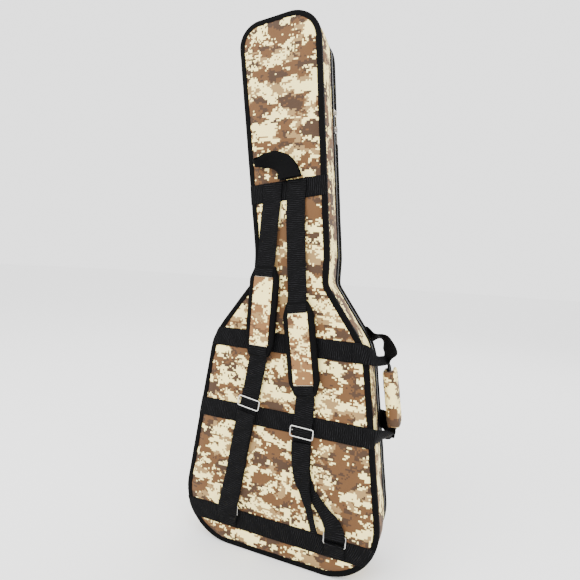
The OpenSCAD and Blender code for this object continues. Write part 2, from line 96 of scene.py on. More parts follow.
@dataclass(frozen=True)
class BagSizes:
    """Sizes of the bag, in millimetres, as in the CAD model."""

    bout_w: float = 411
    bout_z: float = 118
    foot_r: float = 105
    shoulder_w: float = 325
    shoulder_z: float = 436
    shoulder_r: float = 150
    neck_w: float = 154
    neck_root_z: float = 556
    neck_root_r: float = 24
    head_w: float = 173
    neck_len: float = 469
    bend_z: float = 611
    tilt: float = 7.3
    head_r_right: float = 60
    head_r_left: float = 46
    face_y: float = 54
    zip_y: float = 28
    tape_w: float = 14
    binding_w: float = 11
    web_w: float = 38
    web_t: float = 1.6
    neck_band_up: float = 124
    upper_band_z: float = 434
    middle_band_z: float = 281
    bottom_band_z: float = 59
    front_band_z: float = 454
    front_low_z: float = 285
    turn_len: float = 110
    grip_len: float = 105
    finger_gap: float = 21
    grip_t: float = 7
    pocket_z0: float = 34
    pocket_z1: float = 398
    pocket_d: float = 22
    pocket_in: float = 14
    gap: float = 0.3

    def side_x(self, z: float) -> float:
        """Half width of the body's straight side at a height."""
        rise = (self.shoulder_z - z) / (self.shoulder_z - self.bout_z)
        return self.shoulder_w / 2 + (self.bout_w - self.shoulder_w) / 2 * rise

    def leaned(self, u: float, w: float) -> tuple[float, float]:
        """x and z of a point u across and w along the leaning neck."""
        t = math.radians(self.tilt)
        return (u * math.cos(t) - w * math.sin(t), self.bend_z + u * math.sin(t) + w * math.cos(t))


SIZES = BagSizes()


def point(x: float, y: float, z: float) -> Vector:
    """A point given in millimetres."""
    return Vector((x * MM, y * MM, z * MM))


def smooth(t: float) -> float:
    """Eases 0..1."""
    t = min(1.0, max(0.0, t))
    return t * t * (3 - 2 * t)


def ripple(p: Vector, size: float, seed: float) -> float:
    """Soft noise from about -1 to 1, with features of the given size in metres."""
    return noise.noise(Vector(p) / size + Vector((seed, seed * 0.7, -seed)))


class Outline:
    """A closed flat outline in x and z with rounded corners, sampled evenly."""

    def __init__(self, corners: Sequence[tuple[float, float, float]], spacing: float = 6.0) -> None:
        """Samples the outline.

        Args:
            corners: x, z and radius of each corner in millimetres, anticlockwise.
            spacing: distance between samples in millimetres.
        """
        dense: list[tuple[Vector, Vector]] = []
        count = len(corners)
        flat = [Vector(c[:2]) for c in corners]
        for i, (_, _, r) in enumerate(corners):
            dense.extend(self._arc(flat[i - 1], flat[i], flat[(i + 1) % count], r))
        where = np.array([[*p, *n] for p, n in dense + dense[:1]])
        steps = np.hypot(*np.diff(where[:, :2], axis=0).T)
        run = np.concatenate([[0], np.cumsum(steps)])
        self.length = run[-1] * MM
        samples = np.arange(round(run[-1] / spacing)) * run[-1] / round(run[-1] / spacing)
        table = np.array([np.interp(samples, run, where[:, k]) for k in range(4)]).T
        self.places = table[:, :2]
        self.normals = table[:, 2:] / np.linalg.norm(table[:, 2:], axis=1)[:, None]
        self.stations = samples * MM

    @staticmethod
    def _arc(a: Vector, b: Vector, c: Vector, r: float) -> list[tuple[Vector, Vector]]:
        """Points and outward normals of the arc that rounds corner b."""
        back, on = (a - b).normalized(), (c - b).normalized()
        half = math.acos(max(-1, min(1, back.dot(on)))) / 2
        centre = b + (back + on).normalized() * r / math.sin(half)
        outer = back.x * on.y - back.y * on.x < 0
        start, stop = b + back * r / math.tan(half) - centre, b + on * r / math.tan(half) - centre
        turn = (1 if outer else -1) * math.acos(max(-1, min(1, start.dot(stop) / (r * r))))
        first, steps = math.atan2(start.y, start.x), max(2, math.ceil(abs(turn) / math.radians(3)))
        found = []
        for k in range(steps + 1):
            ray = Vector((math.cos(first + turn * k / steps), math.sin(first + turn * k / steps)))
            found.append((centre + ray * r, ray if outer else -ray))
        return found

    def loop(
        self, inset: float, y: float, wave: Optional[Callable[[Vector], tuple[float, float]]] = None
    ) -> list[Vector]:
        """The outline moved inwards.

        Args:
            inset: distance inwards in millimetres.
            y: depth in millimetres.
            wave: gives extra inset and extra y for a point.

        Returns:
            Points in metres.
        """
        found = []
        for (x, z), (nx, nz) in zip(self.places, self.normals):
            t, dy = inset, y
            if wave:
                more, lift = wave(point(x, y, z))
                t, dy = t + more, dy + lift
            found.append(point(x - nx * t, dy, max(0.0, z - nz * t)))
        return found

    def depth(self, xz: np.ndarray) -> np.ndarray:
        """Distance in metres from each x, z point in metres to the outline."""
        places = self.places * MM
        found = np.full(len(xz), 9.0)
        for k in range(0, len(xz), 4000):
            part = xz[k : k + 4000]
            found[k : k + 4000] = np.sqrt(((part[:, None] - places[None]) ** 2).sum(-1)).min(1)
        return found


def bag_outline(sizes: BagSizes) -> Outline:
    """The bag's own outline, at the outside of the bindings."""
    s = sizes
    foot = s.side_x(0)
    half = s.neck_w / 2
    return Outline(
        [
            (foot, 0, s.foot_r),
            (s.shoulder_w / 2, s.shoulder_z, s.shoulder_r),
            (half, s.neck_root_z, s.neck_root_r),
            (half, s.bend_z, 200),
            (*s.leaned(s.head_w / 2, s.neck_len), s.head_r_right),
            (*s.leaned(-s.head_w / 2, s.neck_len), s.head_r_left),
            (-half, s.bend_z, 200),
            (-half, s.neck_root_z, s.neck_root_r),
            (-s.shoulder_w / 2, s.shoulder_z, s.shoulder_r),
            (-foot, 0, s.foot_r),
        ]
    )


def pocket_outline(sizes: BagSizes) -> Outline:
    """The outline of the front pocket."""
    s = sizes
    low, high = s.side_x(s.pocket_z0) - s.pocket_in, s.side_x(s.pocket_z1) - s.pocket_in
    return Outline(
        [
            (low, s.pocket_z0, s.foot_r - 20),
            (high, s.pocket_z1, 24),
            (-high, s.pocket_z1, 24),
            (-low, s.pocket_z0, s.foot_r - 20),
        ]
    )


class Sewing:
    """Makes mesh objects out of bmesh steps."""

    @staticmethod
    def finish(bm: bmesh.types.BMesh, name: str, sharp: float = 40) -> bpy.types.Object:
        """Turns a bmesh into a smooth-shaded object with its faces outwards.

        Args:
            bm: the mesh, which is freed.
            name: name of the object.
            sharp: angle in degrees from which an edge stays sharp.

        Returns:
            The object, at the origin.
        """
        bmesh.ops.remove_doubles(bm, verts=bm.verts, dist=1e-6)
        bmesh.ops.recalc_face_normals(bm, faces=bm.faces)
        mesh = bpy.data.meshes.new(name)
        bm.to_mesh(mesh)
        bm.free()
        mesh.shade_smooth()
        mesh.set_sharp_from_angle(angle=math.radians(sharp))
        made = bpy.data.objects.new(name, mesh)
        bpy.context.scene.collection.objects.link(made)
        return made

    @staticmethod
    def loft(
        name: str,
        rows: Sequence[Sequence[Vector]],
        across: Sequence[float],
        along: Sequence[float],
        row_closed: bool = False,
        run_closed: bool = False,
        wrap: float = 0.0,
        sharp: float = 40,
    ) -> bpy.types.Object:
        """Extrudes the first row of points from row to row.

        Args:
            name: name of the object.
            rows: rows of points, each with the same count.
            across: texture coordinate of each point in a row, in metres.
            along: texture coordinate of each row, in metres.
            row_closed: whether a row is a closed loop.
            run_closed: whether the last row joins the first.
            wrap: length round a closed row, where its coordinate starts again.
            sharp: angle in degrees from which an edge stays sharp.

        Returns:
            The object. Ends of a tube are closed.
        """
        bm = bmesh.new()
        order = bm.verts.layers.int.new("order")
        place = bm.verts.layers.int.new("row")
        verts = [bm.verts.new(p) for p in rows[0]]
        for k, v in enumerate(verts):
            v[order] = k
        pairs = list(zip(verts, verts[1:])) + ([(verts[-1], verts[0])] if row_closed else [])
        edges = first = [bm.edges.new(pair) for pair in pairs]
        for index, row in enumerate(rows[1:], 1):
            grown = bmesh.ops.extrude_edge_only(bm, edges=edges)["geom"]
            new = {g for g in grown if isinstance(g, bmesh.types.BMVert)}
            edges = [g for g in grown if isinstance(g, bmesh.types.BMEdge) and set(g.verts) <= new]
            for v in new:
                v.co = row[v[order]]
                v[place] = index
        if run_closed:
            bmesh.ops.bridge_loops(bm, edges=first + edges)
        elif row_closed:
            bmesh.ops.holes_fill(bm, edges=first + edges, sides=0)
        uv = bm.loops.layers.uv.new("UVMap")
        reach = along[-1] - along[0] if run_closed else 0
        step = along[1] - along[0]
        for face in bm.faces:
            us = [across[c.vert[order]] for c in face.loops]
            vs = [along[c.vert[place]] for c in face.loops]
            if wrap and max(us) - min(us) > wrap / 2:
                us = [u + wrap if u < wrap / 2 else u for u in us]
            if reach and max(vs) - min(vs) > reach / 2:
                vs = [v + reach + step if v < reach / 2 else v for v in vs]
            for corner, u, v in zip(face.loops, us, vs):
                corner[uv].uv = (u, v)
        return Sewing.finish(bm, name, sharp)

    @staticmethod
    def box_uv(obj: bpy.types.Object) -> None:
        """Lays texture coordinates in metres on a mesh, each face from its main direction."""
        mesh = obj.data
        layer = mesh.uv_layers.get("UVMap") or mesh.uv_layers.new(name="UVMap")
        co = np.zeros(len(mesh.vertices) * 3)
        mesh.vertices.foreach_get("co", co)
        co = co.reshape(-1, 3)
        index = np.zeros(len(mesh.loops), int)
        mesh.loops.foreach_get("vertex_index", index)
        total = np.zeros(len(mesh.polygons), int)
        mesh.polygons.foreach_get("loop_total", total)
        normals = np.zeros(len(mesh.polygons) * 3)
        mesh.polygons.foreach_get("normal", normals)
        side = np.repeat(np.abs(normals.reshape(-1, 3)).argmax(1), total)
        p = co[index]
        u = np.where(side == 0, p[:, 1], p[:, 0])
        v = np.where(side == 2, p[:, 1], p[:, 2])
        layer.data.foreach_set("uv", np.stack([u, v], 1).ravel())

    @staticmethod
    def applied(obj: bpy.types.Object) -> None:
        """Replaces an object's mesh by its evaluated one and drops its modifiers."""
        bpy.context.view_layer.update()
        graph = bpy.context.evaluated_depsgraph_get()
        mesh = bpy.data.meshes.new_from_object(obj.evaluated_get(graph), depsgraph=graph)
        obj.modifiers.clear()
        old = obj.data
        obj.data = mesh
        bpy.data.meshes.remove(old)

    @staticmethod
    def thicken(obj: bpy.types.Object, thickness: float) -> None:
        """Gives a sheet a thickness in millimetres, behind its face."""
        thick = obj.modifiers.new("thickness", "SOLIDIFY")
        thick.thickness, thick.offset = thickness * MM, -1
        Sewing.applied(obj)

    @staticmethod
    def copy_of(node: str, name: str) -> bpy.types.Object:
        """A merged copy of a CAD node's mesh."""
        bm = bmesh.new()
        bm.from_mesh(frame_node(node).data)
        return Sewing.finish(bm, name)

    @staticmethod
    def slab(outline: Sequence[Vector], depth: float, name: str) -> bpy.types.Object:
        """A closed flat slab.

        Args:
            outline: corners in order, all at one y.
            depth: thickness in metres, along y.
            name: name of the object.

        Returns:
            The slab as an object.
        """
        bm = bmesh.new()
        verts = [bm.verts.new(p) for p in outline]
        edges = [bm.edges.new(pair) for pair in zip(verts, verts[1:] + verts[:1])]
        faces = bmesh.ops.triangle_fill(bm, use_beauty=True, edges=edges)["geom"]
        faces = [f for f in faces if isinstance(f, bmesh.types.BMFace)]
        grown = bmesh.ops.extrude_face_region(bm, geom=faces)["geom"]
        moved = [g for g in grown if isinstance(g, bmesh.types.BMVert)]
        bmesh.ops.translate(bm, verts=moved, vec=(0, depth, 0))
        return Sewing.finish(bm, name)


FRAME: dict = {}


def frame_node(name: str) -> bpy.types.Object:
    """A CAD node's object, from the loaded frame."""
    return FRAME["nodes"][name]


def vertices(obj: bpy.types.Object) -> np.ndarray:
    """An object's vertices as rows of x, y, z in metres."""
    co = np.zeros(len(obj.data.vertices) * 3)
    obj.data.vertices.foreach_get("co", co)
    return co.reshape(-1, 3)


def put_vertices(obj: bpy.types.Object, co: np.ndarray) -> None:
    """Writes an object's vertices."""
    obj.data.vertices.foreach_set("co", co.ravel())
    obj.data.update()


@dataclass(frozen=True)
class Stuffing:
    """How a padded piece is inflated."""

    voxel: float = 0.005
    pressure: float = 4.0
    cap: float = 0.004
    spare: float = 0.0
    frames: int = 20

    def fill(self, obj: bpy.types.Object, held: Optional[Callable[[np.ndarray], np.ndarray]] = None) -> None:
        """Remeshes a closed shape, inflates it as cloth and keeps the result.

        Args:
            obj: closed mesh, changed in place.
            held: gives, for vertices, how far each is held, 0 to 1; called after the remesh.
        """
        remesh = obj.modifiers.new("even mesh", "REMESH")
        remesh.mode, remesh.voxel_size = "VOXEL", self.voxel
        Sewing.applied(obj)
        rest = vertices(obj)
        if held is not None:
            group = obj.vertex_groups.new(name="held")
            weights = held(rest)
            for level in np.unique(np.round(weights, 1)):
                if level > 0:
                    chosen = np.nonzero(np.round(weights, 1) == level)[0]
                    group.add(chosen.tolist(), float(level), "REPLACE")
        moved = self._simulate(obj, held is not None)
        step = moved - rest
        length = np.linalg.norm(step, axis=1)
        step *= np.minimum(1, self.cap / np.maximum(length, 1e-9))[:, None]
        put_vertices(obj, rest + step)
        obj.data.shade_smooth()

    def _simulate(self, obj: bpy.types.Object, pinned: bool) -> np.ndarray:
        """Runs the cloth and returns the vertices it ends with."""
        cloth = obj.modifiers.new("cloth", "CLOTH")
        settings = cloth.settings
        settings.quality = 4
        settings.mass = 0.3
        settings.use_pressure = True
        settings.uniform_pressure_force = self.pressure
        settings.shrink_min = -self.spare
        settings.effector_weights.gravity = 0
        cloth.collision_settings.use_collision = False
        if pinned:
            settings.vertex_group_mass = "held"
        scene = bpy.context.scene
        cloth.point_cache.frame_start, cloth.point_cache.frame_end = 1, self.frames
        for frame in range(1, self.frames + 1):
            scene.frame_set(frame)
        graph = bpy.context.evaluated_depsgraph_get()
        shape = obj.evaluated_get(graph)
        co = np.zeros(len(shape.data.vertices) * 3)
        shape.data.vertices.foreach_get("co", co)
        obj.modifiers.clear()
        scene.frame_set(1)
        return co.reshape(-1, 3)


class Graph:
    """Short calls for building a node tree."""

    def __init__(self, tree: bpy.types.NodeTree) -> None:
        """Starts on a tree."""
        self.tree = tree

    def add(self, kind: str, inputs: Optional[dict] = None, **props: object) -> bpy.types.Node:
        """Adds a node.

        Args:
            kind: node type without its prefix.
            inputs: input name or number to a value or a socket to link.
            props: properties of the node.

        Returns:
            The node.
        """
        made = self.tree.nodes.new("ShaderNode" + kind)
        for name, value in props.items():
            setattr(made, name, value)
        for name, value in (inputs or {}).items():
            if isinstance(value, bpy.types.NodeSocket):
                self.tree.links.new(value, made.inputs[name])
            else:
                made.inputs[name].default_value = value
        return made

    def math(self, operation: str, a: object, b: object = 0.0) -> bpy.types.NodeSocket:
        """The result of a Math node."""
        return self.add("Math", {0: a, 1: b}, operation=operation).outputs[0]

    def mix(self, share: object, a: object, b: object) -> bpy.types.NodeSocket:
        """One colour laid over another."""
        node = self.add("Mix", data_type="RGBA")
        for index, value in ((0, share), (6, a), (7, b)):
            if isinstance(value, bpy.types.NodeSocket):
                self.tree.links.new(value, node.inputs[index])
            else:
                node.inputs[index].default_value = value
        return node.outputs[2]


def rgba(red: float, green: float, blue: float) -> tuple[float, float, float, float]:
    """A colour given as 0-255 screen values, as linear RGBA."""
    found = []
    for value in (red, green, blue):
        c = value / 255
        found.append(c / 12.92 if c <= 0.04045 else ((c + 0.055) / 1.055) ** 2.4)
    return (*found, 1.0)


class Effects:
    """Node groups that several materials share."""

    def __init__(self) -> None:
        """Builds the groups once."""
        self.weave = self._weave()
        self.crease = self._crease()

    @staticmethod
    def _start(
        name: str, inputs: Sequence[tuple[str, str, float]], outputs: Sequence[str]
    ) -> tuple[Graph, bpy.types.Node, bpy.types.Node]:
        """A new group with its sockets, and its two end nodes."""
        tree = bpy.data.node_groups.new(name, "ShaderNodeTree")
        for label, kind, value in inputs:
            made = tree.interface.new_socket(name=label, in_out="INPUT", socket_type=kind)
            if kind == "NodeSocketFloat":
                made.default_value = value
        for label in outputs:
            tree.interface.new_socket(name=label, in_out="OUTPUT", socket_type="NodeSocketFloat")
        graph = Graph(tree)
        return graph, tree.nodes.new("NodeGroupInput"), tree.nodes.new("NodeGroupOutput")

    def _weave(self) -> bpy.types.NodeTree:
        """Threads that cross: a height from 0 to 1 that follows the fabric."""
        graph, source, sink = self._start(
            "crossing threads",
            [
                ("Vector", "NodeSocketVector", 0), ("Threads per metre", "NodeSocketFloat", 1200),
                ("Slant", "NodeSocketFloat", 0)
            ],
            ["Height"],
        )
        apart = graph.add("SeparateXYZ", {0: source.outputs["Vector"]})
        turns = graph.math("MULTIPLY", source.outputs["Threads per metre"], math.pi)
        slanted = graph.math("MULTIPLY", apart.outputs[0], source.outputs["Slant"])
        first = graph.math("SINE", graph.math("MULTIPLY", apart.outputs[0], turns))
        run = graph.math("ADD", apart.outputs[1], slanted)
        second = graph.math("SINE", graph.math("MULTIPLY", run, turns))
        both = graph.math("MULTIPLY", first, second)
        height = graph.math("MULTIPLY_ADD", both, 0.5)
        height.node.inputs[2].default_value = 0.5
        graph.tree.links.new(height, sink.inputs["Height"])
        return graph.tree

    def _crease(self) -> bpy.types.NodeTree:
        """Soft creases of used fabric: a height from 0 to 1."""
        graph, source, sink = self._start(
            "soft creases",
            [("Vector", "NodeSocketVector", 0), ("Scale", "NodeSocketFloat", 14)],
            ["Height"],
        )
        wide = graph.add(
            "TexNoise",
            {
                "Vector": source.outputs["Vector"], "Scale": source.outputs["Scale"], "Detail": 3.0,
                "Roughness": 0.45, "Distortion": 0.6
            }
        )
        graph.tree.links.new(wide.outputs[0], sink.inputs["Height"])
        return graph.tree

    @staticmethod
    def place(graph: Graph, group: bpy.types.NodeTree, inputs: dict) -> bpy.types.Node:
        """Puts a group in a material and sets or links its inputs."""
        return graph.add("Group", inputs, node_tree=group)


def new_material(name: str) -> tuple[bpy.types.Material, Graph, bpy.types.Node]:
    """A material with an empty tree but for its Principled shader."""
    made = bpy.data.materials.new(name)
    made.use_nodes = True
    graph = Graph(made.node_tree)
    shader = made.node_tree.nodes["Principled BSDF"]
    return made, graph, shader


def join(graph: Graph, value: bpy.types.NodeSocket, socket: bpy.types.NodeSocket) -> None:
    """Links an output to an input."""
    graph.tree.links.new(value, socket)


@dataclass(frozen=True)
class CamoCloth:
    """Square-cornered camouflage printed on canvas."""

    name: str = "camouflage canvas"
    cell: float = 0.0031
    cream: tuple = rgba(252, 232, 154)
    tan: tuple = rgba(140, 112, 70)
    brown: tuple = rgba(90, 60, 31)
    dark: tuple = rgba(60, 41, 25)
    shift: float = 0.0
    browner: float = 0.0

    def build(self, effects: Effects) -> bpy.types.Material:
        """Makes the material."""
        made, g, shader = new_material(self.name)
        uv = g.add("UVMap", uv_map="UVMap").outputs[0]
        cells = g.add("VectorMath", {0: uv, 1: (self.cell,) * 3}, operation="SNAP").outputs[0]

        def blotches(offset: float, wide: float, tall: float, rough: float) -> bpy.types.NodeSocket:
            """Noise that is the same all over one square, in blotches of a size in metres."""
            moved = g.add(
                "VectorMath", {0: cells, 1: (offset + self.shift, offset * 0.37, 0)}, operation="ADD"
            ).outputs[0]
            grown = g.add(
                "VectorMath", {0: moved, 1: (1 / wide, 1 / tall, 1)}, operation="MULTIPLY"
            ).outputs[0]
            look = {"Vector": grown, "Scale": 1.0, "Detail": 4.0, "Roughness": rough, "Lacunarity": 2.3}
            return g.add("TexNoise", look, noise_dimensions="2D").outputs[0]

        aside = g.add("VectorMath", {0: cells, 1: (0.1, 0.1, 0)}, operation="ADD").outputs[0]
        speck = g.add("TexWhiteNoise", {"Vector": aside}, noise_dimensions="2D")
        dots = g.math("SUBTRACT", speck.outputs[0], 0.5)
        jitter = g.math("MULTIPLY", g.math("MULTIPLY", dots, g.math("ABSOLUTE", dots)), 0.13)
        tan_on = g.math("GREATER_THAN", g.math("ADD", blotches(3.1, 0.060, 0.036, 0.66), jitter), 0.535)
        brown_field = g.math("ADD", blotches(7.7, 0.064, 0.040, 0.62), jitter)
        brown_on = g.math("GREATER_THAN", brown_field, 0.492 - self.browner)
        dark_field = g.math("SUBTRACT", blotches(12.9, 0.048, 0.030, 0.62), jitter)
        near_brown = g.math("GREATER_THAN", brown_field, 0.465)
        dark_on = g.math("MULTIPLY", g.math("GREATER_THAN", dark_field, 0.53), near_brown)
        cream_on = g.math(
            "GREATER_THAN", g.math("SUBTRACT", blotches(21.3, 0.044, 0.027, 0.64), jitter), 0.605
        )
        colour = g.mix(tan_on, self.cream, self.tan)
        colour = g.mix(brown_on, colour, self.brown)
        colour = g.mix(dark_on, colour, self.dark)
        colour = g.mix(cream_on, colour, self.cream)
        fade = g.add("TexNoise", {"Vector": uv, "Scale": 9.0, "Detail": 2.0}).outputs[0]
        shade = g.math("MULTIPLY_ADD", fade, 0.24)
        shade.node.inputs[2].default_value = 0.88
        tint = g.add("VectorMath", {0: colour, "Scale": shade}, operation="SCALE").outputs[0]
        join(g, tint, shader.inputs["Base Color"])
        weave = Effects.place(g, effects.weave, {"Vector": uv, "Threads per metre": 1300.0}).outputs[0]
        crease = Effects.place(g, effects.crease, {"Vector": uv, "Scale": 16.0}).outputs[0]
        fine = g.add("Bump", {"Strength": 0.25, "Distance": 0.0003, "Height": weave}).outputs[0]
        wide = g.add(
            "Bump", {"Strength": 0.5, "Distance": 0.006, "Height": crease, "Normal": fine}
        ).outputs[0]
        join(g, wide, shader.inputs["Normal"])
        rough = g.math("MULTIPLY_ADD", weave, 0.15)
        rough.node.inputs[2].default_value = 0.72
        join(g, rough, shader.inputs["Roughness"])
        shader.inputs["Specular IOR Level"].default_value = 0.3
        shader.inputs["Sheen Weight"].default_value = 0.03
        return made


@dataclass(frozen=True)
class WovenTape:
    """Black webbing, binding or zip tape with its weave."""

    name: str
    low: tuple
    high: tuple
    threads: float
    slant: float
    depth: float
    roughness: float
    sheen: float = 0.0
    specular: float = 0.03
    ribs: float = 0.0

    def build(self, effects: Effects) -> bpy.types.Material:
        """Makes the material."""
        made, g, shader = new_material(self.name)
        uv = g.add("UVMap", uv_map="UVMap").outputs[0]
        weave = Effects.place(
            g, effects.weave, {"Vector": uv, "Threads per metre": self.threads, "Slant": self.slant}
        ).outputs[0]
        crease = Effects.place(g, effects.crease, {"Vector": uv, "Scale": 40.0}).outputs[0]
        colour = g.mix(weave, self.low, self.high)
        # Colour made lighter where the crease height, which also drives the bump, is high.
        lighter_on_raised_creases = g.math("MULTIPLY", g.math("SUBTRACT", crease, 0.45), 0.5)
        lighter_on_raised_creases.node.use_clamp = True
        colour = g.mix(lighter_on_raised_creases, colour, self.high)
        join(g, colour, shader.inputs["Base Color"])
        fine = g.add("Bump", {"Strength": 0.7, "Distance": self.depth, "Height": weave}).outputs[0]
        if self.ribs:
            run = {
                "Vector": uv, "Scale": self.ribs, "Distortion": 5.0, "Detail": 2.0, "Detail Scale": 1.6,
                "Detail Roughness": 0.5
            }
            rib = g.add("TexWave", run, bands_direction="Y").outputs[1]
            # Painted highlight: the tops of the ribs are mixed towards a light grey.
            painted_rib_highlight = g.math("MULTIPLY", g.math("POWER", rib, 5.0), g.math("MULTIPLY", weave, 0.32))
            colour = g.mix(painted_rib_highlight, colour, rgba(62, 62, 65))
            join(g, colour, shader.inputs["Base Color"])
            fine = g.add(
                "Bump", {"Strength": 0.6, "Distance": 0.0007, "Height": rib, "Normal": fine}
            ).outputs[0]
        wide = g.add(
            "Bump", {"Strength": 0.35, "Distance": 0.002, "Height": crease, "Normal": fine}
        ).outputs[0]
        join(g, wide, shader.inputs["Normal"])
        rough = g.math("MULTIPLY_ADD", crease, 0.2)
        rough.node.inputs[2].default_value = self.roughness - 0.1
        join(g, rough, shader.inputs["Roughness"])
        shader.inputs["Sheen Weight"].default_value = self.sheen
        shader.inputs["Sheen Roughness"].default_value = 0.5
        shader.inputs["Specular IOR Level"].default_value = self.specular
        return made


@dataclass(frozen=True)
class PlatedMetal:
    """Nickel-plated wire or cast metal with fine scratches."""

    name: str
    colour: tuple
    roughness: float

    def build(self, effects: Effects) -> bpy.types.Material:
        """Makes the material."""
        made, g, shader = new_material(self.name)
        place = g.add("TexCoord").outputs["Object"]
        cloud = g.add("TexNoise", {"Vector": place, "Scale": 260.0, "Detail": 3.0}).outputs[0]
        fine = g.add("TexNoise", {"Vector": place, "Scale": 1500.0, "Detail": 2.0}).outputs[0]
        dull = tuple(0.6 * c for c in self.colour[:3]) + (1.0,)
        stain = g.math("MULTIPLY", g.math("SUBTRACT", cloud, 0.5), 2.0)
        stain.node.use_clamp = True
        join(g, g.mix(stain, self.colour, dull), shader.inputs["Base Color"])
        rough = g.math("MULTIPLY_ADD", cloud, 0.25)
        rough.node.inputs[2].default_value = self.roughness - 0.1
        join(g, rough, shader.inputs["Roughness"])
        bump = g.add("Bump", {"Strength": 0.2, "Distance": 0.0001, "Height": fine}).outputs[0]
        join(g, bump, shader.inputs["Normal"])
        shader.inputs["Metallic"].default_value = 1.0
        return made


class Finishes:
    """All materials of the bag, by record slot."""

    def __init__(self) -> None:
        """Builds the materials."""
        effects = Effects()
        black = rgba(3, 3, 3)
        self.pad_canvas = CamoCloth(
            "light camouflage canvas", brown=rgba(120, 84, 48), dark=rgba(88, 60, 36), shift=4.4,
            browner=0.02
        ).build(effects)
        self.thread = WovenTape(
            "pale thread", rgba(206, 196, 170), rgba(232, 224, 204), 2400, 1, 0.0001, 0.7
        ).build(effects)
        self.by_slot = {
            Slot.CAMO: CamoCloth().build(effects),
            Slot.LINING: WovenTape(
                "grey lining", rgba(52, 52, 54), rgba(70, 70, 73), 900, 0, 0.0002, 0.8
            ).build(effects),
            Slot.BINDING: WovenTape(
                "black binding tape", black, rgba(13, 13, 14), 700, 0, 0.0003, 0.66
            ).build(effects),
            Slot.WEBBING: WovenTape(
                "black webbing", black, rgba(13, 13, 14), 480, 0.9, 0.0005, 0.6, ribs=84.0
            ).build(effects),
            Slot.ZIP_TAPE: WovenTape(
                "black zip tape", black, rgba(13, 13, 14), 1100, 0, 0.0002, 0.7
            ).build(effects),
            Slot.ZIP_TEETH: WovenTape(
                "black nylon teeth", black, rgba(24, 24, 26), 260, 0, 0.0002, 0.38, specular=0.3
            ).build(effects),
            Slot.WIRE: PlatedMetal("nickel wire", rgba(205, 204, 200), 0.28).build(effects),
            Slot.ZIP_METAL: PlatedMetal("nickel zip metal", rgba(196, 195, 192), 0.32).build(effects),
        }

    def dress(self, obj: bpy.types.Object, slot: Slot) -> None:
        """Gives an object the finish of a slot."""
        obj.data.materials.clear()
        obj.data.materials.append(self.by_slot[slot])


@dataclass
class Piece:
    """How a finished piece joins the frame."""

    body: str
    slot: Slot
    nodes: tuple[str, ...] = ()

    def join(
        self, obj: bpy.types.Object, finishes: Finishes, instead: Optional[bpy.types.Material] = None
    ) -> bpy.types.Object:
        """Dresses a piece, and lets it ride and stand for its CAD nodes."""
        finishes.dress(obj, self.slot)
        if instead:
            obj.data.materials[0] = instead
        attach(obj, self.body)
        if self.nodes:
            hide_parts(*self.nodes)
        LOG.info("%s rides on %s, %d faces", obj.name, self.body, len(obj.data.polygons))
        return obj


@dataclass
class Strip:
    """Flat webbing along a path.

    Attributes:
        name: name of the piece.
        stops: places on the path, each with the direction across the webbing there.
        width: width in millimetres.
        thickness: thickness in millimetres.
        spacing: distance between cross-sections in millimetres.
        wave: height of its unevenness in millimetres.
        widths: share of the width at each stop.
        seed: where its unevenness starts.
    """

    SECTION: ClassVar[tuple] = (
        (-1, -0.5), (-0.97, -1), (-0.5, -1), (0, -1), (0.5, -1), (0.97, -1), (1, -0.5),
        (1, 0.5), (0.97, 1), (0.5, 1), (0, 1), (-0.5, 1), (-0.97, 1), (-1, 0.5),
    )

    name: str
    stops: Sequence[tuple[Vector, Vector]]
    width: float = 38.0
    thickness: float = 1.6
    spacing: float = 5.0
    wave: float = 0.35
    widths: Optional[Sequence[float]] = None
    seed: float = 1.0

    def _sampled(self) -> list[tuple[Vector, Vector, float, float]]:
        """Points, width directions, width factors and runs along the smoothed path."""
        points = [p for p, _ in self.stops]
        sides = [s.normalized() for _, s in self.stops]
        factors = list(self.widths or [1.0] * len(points))
        found: list[tuple[Vector, Vector, float, float]] = []
        run = 0.0
        for i in range(len(points) - 1):
            before, after = points[max(0, i - 1)], points[min(len(points) - 1, i + 2)]
            a, b = points[i], points[i + 1]
            count = max(2, round((b - a).length / (self.spacing * MM)))
            last = i == len(points) - 2
            for k in range(count + (1 if last else 0)):
                t = k / count
                m0, m1 = (b - before) * 0.5, (after - a) * 0.5
                scale = (b - a).length
                m0 = m0.normalized() * scale if m0.length else m0
                m1 = m1.normalized() * scale if m1.length else m1
                h = (2 * t**3 - 3 * t**2 + 1, t**3 - 2 * t**2 + t, -2 * t**3 + 3 * t**2, t**3 - t**2)
                place = a * h[0] + m0 * h[1] + b * h[2] + m1 * h[3]
                side = sides[i].lerp(sides[i + 1], smooth(t)).normalized()
                wide = factors[i] + (factors[i + 1] - factors[i]) * smooth(t)
                if found:
                    run += (place - found[-1][0]).length
                found.append((place, side, wide, run))
        return found

    def build(self) -> bpy.types.Object:
        """Makes the webbing as a closed tube with a rounded flat section."""
        stations = self._sampled()
        half_t = self.thickness * MM / 2
        rows = []
        for k, (place, side, wide, run) in enumerate(stations):
            ahead = stations[min(k + 1, len(stations) - 1)][0] - stations[max(k - 1, 0)][0]
            ahead.normalize()
            side = (side - ahead * side.dot(ahead)).normalized()
            face = side.cross(ahead).normalized()
            half_w = self.width * MM / 2 * wide
            sway = ripple(place, 0.05, self.seed) * self.wave * MM
            row = []
            for u, v in self.SECTION:
                cup = (u * u - 0.4) * 0.25 * MM * ripple(place, 0.03, self.seed + 5)
                row.append(place + side * (u * half_w) + face * (v * half_t + sway + cup))
            rows.append(row)
        across = [u * self.width * MM / 2 for u, _ in self.SECTION]
        along = [run for *_, run in stations]
        return Sewing.loft(self.name, rows, across, along, row_closed=True, sharp=50)


